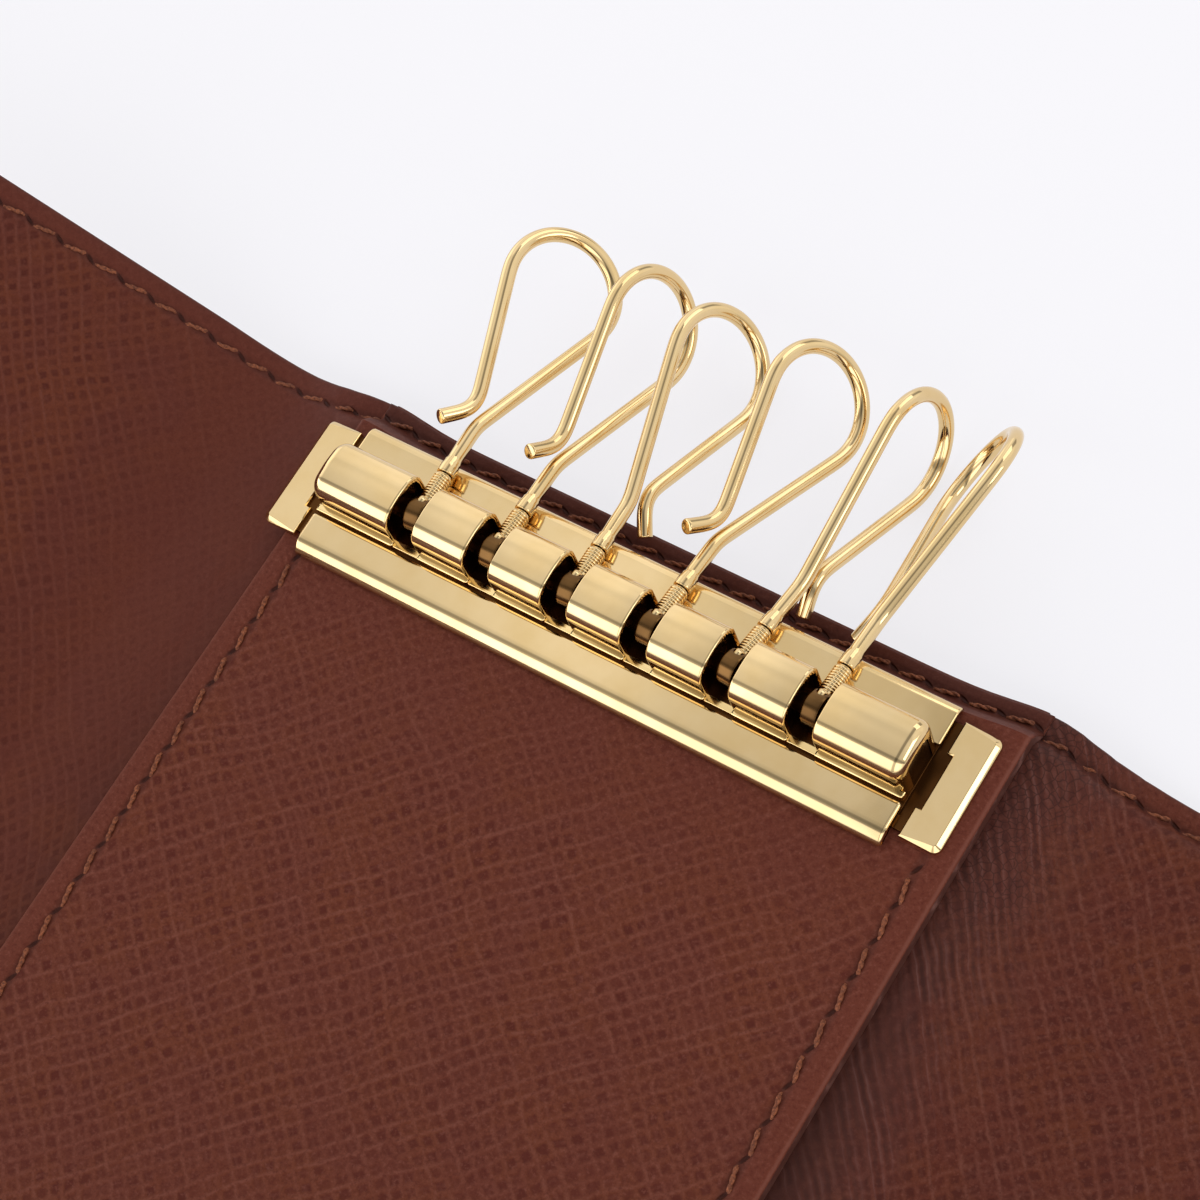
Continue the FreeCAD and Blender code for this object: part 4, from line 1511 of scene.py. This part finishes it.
@dataclass
class PressStud:
    """Cap and socket on the right flap, stud and post on the left flap."""

    finishes: Finishes
    left: Wing
    right: Wing
    left_place: float = 18.2
    right_place: float = 46.0

    def build(self) -> None:
        """Build and dress the four pieces."""
        half = self.left.half_t
        cap = [(0.0, -half - 0.8), (2.0, -half - 0.8), (4.2, -half - 0.74), (5.3, -half - 0.58),
               (5.8, -half - 0.34), (6.0, -half - 0.1), (5.95, -half), (1.2, -half), (1.2, half - 1.0),
               (0.0, half - 1.0)]
        socket = [(2.3, half - 0.95), (2.9, half - 0.95), (2.9, half), (4.1, half), (4.2, half + 0.15),
                  (4.15, half + 0.5), (3.9, half + 0.74), (3.5, half + 0.8), (2.9, half + 0.72),
                  (2.5, half + 0.5), (2.3, half + 0.2), (2.3, half - 0.95)]
        stud = [(0.0, -half - 1.85), (1.1, -half - 1.82), (1.55, -half - 1.68), (1.75, -half - 1.4),
                (1.7, -half - 1.0), (1.6, -half - 0.72), (1.9, -half - 0.52), (3.7, -half - 0.5),
                (4.1, -half - 0.38), (4.2, -half - 0.1), (4.15, -half), (0.0, -half)]
        post = [(0.0, -half), (1.2, -half), (1.2, half), (4.45, half), (4.5, half + 0.12), (4.4, half + 0.36),
                (4.0, half + 0.55), (3.2, half + 0.6), (0.0, half + 0.56)]
        for node, profile, wing, place in (("snap_cap", cap, self.right, self.right_place),
                                           ("snap_socket", socket, self.right, self.right_place),
                                           ("snap_stud", stud, self.left, self.left_place),
                                           ("snap_post", post, self.left, self.left_place)):
            shape = Shape()
            origin, axis = wing.stud_frame(place)
            shape.lathe(eased(profile), origin, axis)
            obj = shape.piece(f"{node}_turned", Slot.METAL, self.finishes.gold)
            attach(obj, f"{wing.title}_flap")
            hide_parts(node)


def eased(profile: list[tuple[float, float]]) -> list[tuple[float, float]]:
    """Profile with each inner corner cut twice, so that it turns smoothly.

    Args:
        profile: Points (radius, height).

    Returns:
        The finer profile.
    """
    points = [np.array(p) for p in profile]
    for cut in (0.22, 0.25):
        made = [points[0]]
        for a, b in zip(points, points[1:]):
            made += [a + (b - a) * cut, b - (b - a) * cut]
        points = made + [points[-1]]
    return [(max(float(p[0]), 1e-4), float(p[1])) for p in points]


@dataclass
class KeyBar:
    """Fixed metal of the bar: carrier plate with end tabs, tray with the front rail, barrel shells."""

    finishes: Finishes
    x: float = -1.65
    y: float = 44.1
    z: float = 6.3
    hooks: int = 6
    pitch: float = 7.0
    slot_w: float = 2.27
    barrel_half_x: float = 25.9
    barrel_half_y: float = 2.45
    barrel_top: float = 4.75
    barrel_round: float = 1.5
    barrel_crown: float = 0.085
    wall: float = 0.4
    plate_t: float = 0.3
    floor_top: float = 0.6
    ledge_top: float = 1.35
    strip_top: float = 1.0
    strip_rear_y: float = 5.5
    strip_roll: float = 0.9
    strip_half_x: float = 26.1
    rail_half_x: float = 26.0
    rail_rear_y: float = -3.03
    nose_y: float = -4.86
    nose_reach: float = 1.46
    nose_z: float = 0.06
    nose_rise: float = 1.14
    ledge_front_y: float = -2.77
    tab_in_x: float = 26.75
    tab_out_x: float = 29.9
    tab_front_y: float = -5.03
    tab_rear_y: float = 4.56
    tab_top: float = 0.6
    tab_bevel: float = 0.4
    tab_corner: float = 0.62
    end_ease: float = 0.95
    slot_ease: float = 0.2
    slot_web: float = 0.5
    axle_z: float = 2.6

    @property
    def seat(self) -> Matrix:
        """Place of the bar's own frame."""
        return Matrix.Translation((self.x, self.y, self.z))

    def slot_x(self, index: int) -> float:
        """Middle of one slot along the bar."""
        return self.pitch * (index - (self.hooks - 1) / 2)

    def finish(self, shape: Shape, name: str, node: str) -> None:
        """Seat a shape, make its piece and let it stand for a node.

        Args:
            shape: The shape, in the bar's own frame.
            name: Name of the piece.
            node: Node that it stands for.
        """
        finishes = self.finishes
        # Mark 1 takes the dark copy of the gold, painted shade; mark 2 takes the brighter copy, painted
        # light.
        obj = shape.moved(self.seat).piece(name, Slot.METAL, finishes.gold, finishes.inside, finishes.lit_gold)
        on_back(obj, node)

    def build(self) -> None:
        """Build and dress all pieces."""
        self.carrier()
        self.tray()
        self.barrel()
        # The axle takes the dark copy of the gold: painted shade.
        dress_node("axle_rod", self.finishes.inside)
        dress_node("bar_rivets", self.finishes.gold)

    def carrier(self) -> None:
        """Carrier plate with its two end tabs."""
        shape = Shape()
        under = self.tab_in_x + 0.6
        plan = rounded_box(-under, under, self.tab_front_y + 0.4, self.tab_rear_y - 0.2)
        # The plate between the tabs takes the dark copy of the gold: painted shade.
        shape.plate(plan, 0.0, self.plate_t, 0.05, mark=1)
        for side in (-1.0, 1.0):
            inner, outer = self.tab_in_x, self.tab_out_x
            front, rear = self.tab_front_y, self.tab_rear_y
            turn = self.tab_corner
            points = [[inner, front]] + arc_points((outer - turn, front + turn), turn, -90, 0, 9)
            points += arc_points((outer - turn, rear - turn), turn, 0, 90, 9)
            points += [[inner, rear], [inner, 1.9], [inner + 0.45, 1.9], [inner + 0.45, -2.6], [inner, -2.6]]
            outline = np.array(points) * [side, 1.0]
            outline = outline if side > 0 else outline[::-1]
            ease = np.where(np.abs(outline[:, 0]) > inner + 0.5, self.tab_bevel, 0.1)
            shape.plate(outline, 0.0, self.tab_top, ease, flat=True)
        self.finish(shape, "carrier_plate_gilt", "carrier_plate")

    def tray(self) -> None:
        """Base tray with the half-round front rail."""
        shape = Shape()
        rear = self.strip_rear_y - self.strip_roll - 0.1
        plan = rounded_box(-self.rail_half_x, self.rail_half_x, -3.6, rear)
        # The tray's floor takes the dark copy of the gold: painted shade.
        shape.plate(plan, self.plate_t, self.floor_top - 0.02, 0.04, mark=1)
        turns = np.radians(np.linspace(4.0, 84.0, 18))
        nose_ys = self.nose_y - self.nose_reach * np.sin(turns)
        nose = np.column_stack([nose_ys, self.nose_z + self.nose_rise * np.cos(turns)]).tolist()
        rear, top = self.rail_rear_y, self.nose_z + self.nose_rise
        section = [[rear, self.plate_t], [rear, top - 0.12], [rear - 0.03, top - 0.04], [rear - 0.11, top]]
        section += [[rear - 0.25, top]] + nose
        shape.bar_x(np.array(section), -self.rail_half_x, self.rail_half_x, 0.28)
        self.finish(shape, "bar_tray_gilt", "bar_tray")

    def arch(self, trim: float, low: float) -> np.ndarray:
        """Arch of the barrel, from the rear foot to the front foot.

        Args:
            trim: Distance by which the arch is brought in.
            low: Height of its feet.

        Returns:
            Points (y, z).
        """
        half, top = self.barrel_half_y - trim, self.barrel_top - trim
        corner = self.barrel_round - trim
        upright = top - corner - low
        points = [[half, low], [half, low + 0.3 * upright], [half, low + 0.8 * upright]]
        points += arc_points((half - corner, top - corner), corner, 0, 84, 16)
        flat = np.linspace(half - corner, corner - half, 7)[1:-1]
        points += [[y, top + self.barrel_crown * (1.0 - (y / (half - corner)) ** 2)] for y in flat]
        points += arc_points((corner - half, top - corner), corner, 96, 180, 16)
        points += [[-half, low + 0.8 * upright], [-half, low + 0.3 * upright], [-half, low]]
        return np.array(points)

    def knuckle(self, shape: Shape, x0: float, x1: float, ease0: float, ease1: float) -> None:
        """Add one thin arched shell between two slots, eased at both ends.

        Args:
            shape: Shape that takes it.
            x0: Left end.
            x1: Right end.
            ease0: Rounding of the left end.
            ease1: Rounding of the right end.
        """
        low = self.floor_top
        rings = []
        for end, way, ease in ((x0, 1.0, ease0), (x1, -1.0, ease1)):
            part = []
            for turn in np.linspace(0.0, math.pi / 2, 12):
                trim = ease * (1.0 - math.sin(turn))
                inner = max(self.wall, trim + 0.15)
                section = np.concatenate([self.arch(trim, low), self.arch(inner, low)[::-1]])
                x = end + way * ease * (1.0 - math.cos(turn))
                part.append(np.column_stack([np.full(len(section), x), section]))
            rings.extend(part if way > 0 else part[::-1])
        shape.loft(np.array(rings))

    def barrel(self) -> None:
        """Seven barrel shells with their front ledges in the brighter gold of painted light, inner linings
        and end plugs in the dark gold of painted shade, and the rear strip.
        """
        shape = Shape()
        cuts = [-self.barrel_half_x]
        for index in range(self.hooks):
            cuts += [self.slot_x(index) - self.slot_w / 2, self.slot_x(index) + self.slot_w / 2]
        cuts.append(self.barrel_half_x)
        for x0, x1 in zip(cuts[::2], cuts[1::2]):
            first, last = x0 == cuts[0], x1 == cuts[-1]
            eases = [self.end_ease if outer else self.slot_ease for outer in (first, last)]
            self.knuckle(shape, x0, x1, *eases)
            # The ledge takes the brighter copy of the gold: painted light.
            ledge = rounded_box(x0 + 0.03, x1 - 0.03, self.ledge_front_y, -2.2, (0.26, 0.05, 0.05, 0.08))
            shape.plate(ledge, self.floor_top, self.ledge_top, 0.12, mark=2)
            # The web and end plugs take the dark copy of the gold: sheets of painted shade inside the shell.
            gaps = [self.end_ease if outer else self.slot_web for outer in (first, last)]
            web = self.arch(self.wall + 0.02, self.floor_top)
            shape.bar_x(web, x0 + gaps[0], x1 - gaps[1], 0.05, mark=1)
            plug = self.arch(self.end_ease + 0.13, self.floor_top)
            for end, way, outer in ((x0, 1.0, first), (x1, -1.0, last)):
                if outer:
                    ends = sorted((end + way * 0.08, end + way * 1.0))
                    shape.bar_x(plug, ends[0], ends[1], 0.02, mark=1)
        # The plate under the ledges takes the brighter copy of the gold: painted light.
        half = self.barrel_half_x - 0.4
        under = rounded_box(-half, half, self.ledge_front_y + 0.1, -2.05)
        shape.plate(under, self.floor_top, self.ledge_top - 0.3, 0.08, mark=2)
        bend = self.strip_rear_y - self.strip_roll
        foot = self.strip_top - self.strip_roll
        inner = self.strip_roll - 0.4
        section = [[2.1, self.floor_top]] + arc_points((bend, foot), inner, 90, 0, 9)
        section += arc_points((bend, foot), self.strip_roll, 0, 90, 17)
        section += [[bend - 0.3, self.strip_top], [2.4, self.strip_top], [2.1, self.strip_top]]
        shape.bar_x(np.array(section), -self.strip_half_x, self.strip_half_x, 0.19)
        self.finish(shape, "barrel_cover_gilt", "barrel_cover")


@dataclass
class HookSet:
    """Six swivel eyes with ridged necks and six wire hooks."""

    finishes: Finishes
    bar: KeyBar
    eye_r: float = 1.35
    eye_w: float = 1.4
    ball_r: float = 0.5
    neck_start: float = 0.95
    neck_end: float = 3.8
    neck_r: float = 0.68
    ridge: float = 0.075
    ridges: int = 9
    collar_r: float = 0.74
    collar_end: float = 5.1
    wire_r: float = 0.6
    stem_end: float = 8.3
    tilt: tuple[float, ...] = (-6.6, -7.6, -9.6, -8.5, -9.3, -9.6)
    lean: tuple[float, ...] = (-4.6, -2.0, -4.2, 0.5, 3.4, -0.2)
    swivel: tuple[float, ...] = (-37.0, -64.0, 126.0, -52.6, 101.0, 59.0)
    bends: tuple[Point, ...] = ((2.1, 18.6, 12.8), (4.55, -216.8, 10.5), (2.3, 58.5, 1.85))

    def wire_line(self) -> np.ndarray:
        """Middle line of a hook in its own plane, from the neck to the foot's end."""
        at = np.array([0.0, self.stem_end])
        heading = 0.0
        points = [np.array([0.0, self.neck_end + 0.1]), at]
        for radius, degrees, straight in self.bends:
            side = math.copysign(1.0, degrees)
            middle = at + side * radius * np.array([math.cos(heading), -math.sin(heading)])
            for share in np.linspace(0.0, 1.0, 40)[1:]:
                now = heading + math.radians(degrees) * share
                points.append(middle - side * radius * np.array([math.cos(now), -math.sin(now)]))
            heading += math.radians(degrees)
            at = points[-1] + straight * np.array([math.sin(heading), math.cos(heading)])
            points.append(at)
        line = even_path(np.array(points), 0.2)
        for _ in range(14):
            line[1:-1] = 0.5 * line[1:-1] + 0.25 * (line[:-2] + line[2:])
        return np.column_stack([line, np.zeros(len(line))])

    def seat(self, index: int) -> Matrix:
        """Place of one eye's own frame, its stem along +Y."""
        spot = Matrix.Translation((self.bar.slot_x(index), 0.0, self.bar.axle_z))
        dip = Matrix.Rotation(math.radians(self.tilt[index]), 4, "X")
        return self.bar.seat @ spot @ dip @ Matrix.Rotation(math.radians(-self.lean[index]), 4, "Z")

    def eye(self) -> Shape:
        """One eye: a rounded ring on the axle and a ridged neck."""
        shape = Shape()
        half, r = self.eye_w / 2, self.eye_r
        ring = [(0.85, -half), (r - 0.12, -half), (r - 0.03, -half + 0.06), (r, -half + 0.2), (r, half - 0.2),
                (r - 0.03, half - 0.06), (r - 0.12, half), (0.85, half), (0.85, -half)]
        # The ring takes the dark copy of the gold: painted shade in the slot.
        shape.lathe(eased(ring), Vector((0, 0, 0)), Vector((1, 0, 0)), 48, mark=1)
        profile = [(0.0, self.neck_start), (self.neck_r, self.neck_start)]
        first = self.neck_start + 0.45
        span = (self.neck_end - 0.15 - first) / self.ridges
        for number in range(self.ridges):
            for share in np.linspace(0.0, 1.0, 9)[:-1]:
                bulge = self.ridge * math.sqrt(max(math.sin(math.pi * share), 0.0))
                profile.append((self.neck_r + bulge, first + (number + share) * span))
        end = self.neck_end
        profile += [(self.neck_r, end - 0.15), (self.neck_r - 0.06, end), (0.0, end)]
        fine = [(max(radius, 1e-4), height) for radius, height in profile]
        shape.lathe(fine, Vector((0, 0, 0)), Vector((0, 1, 0)), 40)
        turns = np.linspace(-math.pi / 2, math.pi / 2, 15)
        ball = [(max(self.ball_r * math.cos(t), 1e-4), self.ball_r * math.sin(t)) for t in turns]
        shape.lathe(ball, Vector((0, 0.72, 0.8)), Vector((0, 1, 0)), 24)
        return shape

    def hook(self) -> Shape:
        """One hook: collar, wire and a cut foot."""
        shape = Shape()
        line = self.wire_line()
        run = lengths(line)
        extra = np.array([0.01, 0.04, 0.09, 0.14])
        keep = np.concatenate([extra, run[1:-1], run[-1] - extra])
        keep = np.unique(np.concatenate([[0.0], keep, [run[-1]]]))
        line = np.stack([np.interp(keep, run, line[:, i]) for i in range(3)], -1)
        collar = self.collar_end - self.neck_end
        thick = 1.0 - smoothstep(collar - 0.25, collar + 0.15, keep)
        radii = self.wire_r + (self.collar_r - self.wire_r) * thick
        radii = radii - 0.07 * np.exp(-((keep - collar + 0.35) / 0.1) ** 2)
        cut = np.minimum(keep, run[-1] - keep)
        radii = radii - round_drop(cut, 0.14)
        shape.tube(line, radii, 28)
        return shape

    def build(self) -> None:
        """Build and dress the eyes and the hooks."""
        for index in range(self.bar.hooks):
            seat = self.seat(index)
            number = index + 1
            eye = self.eye().moved(seat)
            eye = eye.piece(f"swivel_eye_gilt_{number}", Slot.METAL, self.finishes.gold, self.finishes.eye_ring_shade)
            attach(eye, f"eye_{number}")
            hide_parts(f"swivel_eye_{number}")
            turn = Matrix.Rotation(math.radians(-self.swivel[index]), 4, "Y")
            hook = self.hook().moved(seat @ turn)
            hook = hook.piece(f"wire_hook_gilt_{number}", Slot.METAL, self.finishes.gold)
            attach(hook, f"hook_{number}")
            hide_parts(f"wire_hook_{number}")


@dataclass
class Studio:
    """Pale floor, soft light, and the camera at the photograph's view."""

    camera_at: Point = (88.45, -16.7, 210.0)
    right: Point = (0.8247, 0.5228, -0.2157)
    up: Point = (-0.4014, 0.8098, 0.428)
    back: Point = (0.3984, -0.2664, 0.8777)
    lens: float = 94.2
    pale: Colour = srgb(250, 249, 252)
    far: Colour = srgb(246, 245, 249)
    sky: tuple[tuple[float, float], ...] = (
        (-90.0, 0.4), (-82.0, 0.8), (-72.0, 0.84), (-38.0, 0.84), (-29.0, 0.22), (-20.0, 0.14), (-13.0, 0.15),
        (-6.0, 0.29), (17.0, 0.355), (27.0, 0.335), (32.0, 0.41), (48.0, 0.4), (80.0, 0.42), (90.0, 0.4))
    sky_strength: float = 3.25
    sweep: tuple[tuple[float, float], ...] = (
        (-1.0, 1.4), (-0.6, 0.78), (-0.4, 0.95), (-0.28, 0.72), (-0.16, 0.68), (-0.04, 0.32), (0.2, 0.3),
        (0.34, 0.75), (0.6, 0.8), (0.86, 0.7), (1.0, 0.45))
    glow: float = 0.78

    def build(self) -> None:
        """Set up the whole studio."""
        bpy.context.scene.view_settings.view_transform = "Standard"
        self.floor()
        self.world()
        self.lamp("rear_light", (0.15, 1.1, 0.75), (0.0, 0.04, 0.0), 0.7, 2.0)
        self.lamp("right_light", (0.85, 0.27, 0.42), (0.0, 0.03, 0.0), 0.35, 0.9)
        self.camera()

    def floor(self) -> None:
        """Plain pale floor under the case."""
        size, low = 3.0, -0.0002
        mesh = bpy.data.meshes.new("floor")
        corners = [(-size, -size, low), (size, -size, low), (size, size, low), (-size, size, low)]
        mesh.from_pydata(corners, [], [(0, 1, 2, 3)])
        g = Graph("pale_floor")
        g.set(Base_Color=self.pale, Roughness=0.8, Specular_IOR_Level=0.0)
        rays = g.node("LightPath").outputs
        seen = g.math("MAXIMUM", rays["Is Camera Ray"], rays["Is Glossy Ray"])
        seen = g.math("MAXIMUM", seen, rays["Is Transmission Ray"])
        lit = g.node("Emission", {"Color": self.far, "Strength": 1.0}).outputs[0]
        out = next(node for node in g.material.node_tree.nodes if node.type == "OUTPUT_MATERIAL")
        plain = out.inputs["Surface"].links[0].from_socket
        both = g.node("MixShader", {0: g.math("MULTIPLY", seen, self.glow), 1: plain, 2: lit}).outputs[0]
        g.feed(out.inputs["Surface"], both)
        mesh.materials.append(g.material)
        obj = bpy.data.objects.new("floor", mesh)
        bpy.context.scene.collection.objects.link(obj)

    def world(self) -> None:
        """Grey surroundings with a bright soft band in front, so that the metal has something to mirror."""
        world = bpy.data.worlds.new("studio")
        world.use_nodes = True
        bpy.context.scene.world = world
        tree = world.node_tree
        coord = tree.nodes.new("ShaderNodeTexCoord")
        split = tree.nodes.new("ShaderNodeSeparateXYZ")
        tree.links.new(coord.outputs["Generated"], split.inputs[0])
        turn = tree.nodes.new("ShaderNodeMath")
        turn.operation = "ARCTAN2"
        tree.links.new(split.outputs[1], turn.inputs[0])
        tree.links.new(split.outputs[2], turn.inputs[1])
        bands = self.bands(tree, turn.outputs[0], math.pi / 2, [(d / 90.0, level) for d, level in self.sky])
        sides = self.bands(tree, split.outputs[0], 1.0, self.sweep)
        strength = tree.nodes.new("ShaderNodeMath")
        strength.operation = "MULTIPLY"
        strength.inputs[1].default_value = self.sky_strength
        tree.links.new(sides, strength.inputs[0])
        tree.links.new(bands, tree.nodes["Background"].inputs[0])
        tree.links.new(strength.outputs[0], tree.nodes["Background"].inputs[1])

    def bands(self, tree: bpy.types.NodeTree, value: bpy.types.NodeSocket, reach: float,
              levels: Sequence[tuple[float, float]]) -> bpy.types.NodeSocket:
        """Brightness that changes along a value.

        Args:
            tree: Node tree of the world.
            value: Socket that runs from minus reach to reach.
            reach: Largest size of the value.
            levels: Places from -1 to 1 with their brightness.

        Returns:
            The brightness.
        """
        share = tree.nodes.new("ShaderNodeMapRange")
        share.inputs["From Min"].default_value = -reach
        share.inputs["From Max"].default_value = reach
        tree.links.new(value, share.inputs["Value"])
        ramp = tree.nodes.new("ShaderNodeValToRGB")
        ramp.color_ramp.interpolation = "EASE"
        tree.links.new(share.outputs[0], ramp.inputs[0])
        stops = ramp.color_ramp.elements
        while len(stops) < len(levels):
            stops.new(0.5)
        for stop, (place, level) in zip(stops, levels):
            stop.position = (place + 1.0) / 2.0
            stop.color = (level, level, 1.01 * level, 1.0)
        return ramp.outputs[0]

    def lamp(self, name: str, at: Point, aim: Point, size: float, power: float) -> None:
        """One square soft box.

        Args:
            name: Name of the lamp.
            at: Place in metres.
            aim: Point that it looks at.
            size: Side length.
            power: Power in watts.
        """
        light = bpy.data.lights.new(name, "AREA")
        light.size = size
        light.energy = power
        obj = bpy.data.objects.new(name, light)
        obj.location = at
        obj.rotation_euler = (Vector(aim) - Vector(at)).to_track_quat("-Z", "Y").to_euler()
        bpy.context.scene.collection.objects.link(obj)

    def camera(self) -> None:
        """Camera from the three directions of its view."""
        data = bpy.data.cameras.new("camera")
        data.lens = self.lens
        data.sensor_width = 36.0
        data.clip_start = 0.005
        obj = bpy.data.objects.new("camera", data)
        turn = Matrix((self.right, self.up, self.back)).transposed().to_4x4()
        obj.matrix_world = Matrix.Translation(Vector(self.camera_at) * MM) @ turn
        bpy.context.scene.collection.objects.link(obj)
        bpy.context.scene.camera = obj


def main() -> None:
    """Build the key case and the studio."""
    logging.basicConfig(level=logging.INFO, format="%(message)s")
    finishes = Finishes()
    stitching = Stitching()
    back = CaseBack(finishes, stitching)
    back.build()
    left = Wing(finishes, stitching, back, "left", -1, chord=13.8, slope=3.0, arc=52.0, flap_slope=24.0,
                flap_length=46.0, wrinkle=0.05, shade=0.15, hem_run=(0.4, 6.0), flare=0.012, rubbed=0.75,
                darkening_share=0.03)
    right = Wing(finishes, stitching, back, "right", 1, chord=17.5, slope=-5.8, arc=20.0, flap_slope=1.2,
                 flap_length=56.0, wrinkle=0.16, shade=0.62, hem_run=(9.0, 40.0), flare=-0.011, rubbed=0.0,
                 darkening_share=0.15, socket=PressStud.right_place)
    left.build()
    right.build()
    PressStud(finishes, left, right).build()
    bar = KeyBar(finishes)
    bar.build()
    HookSet(finishes, bar).build()
    Studio().build()


if __name__ == "__main__":
    main()
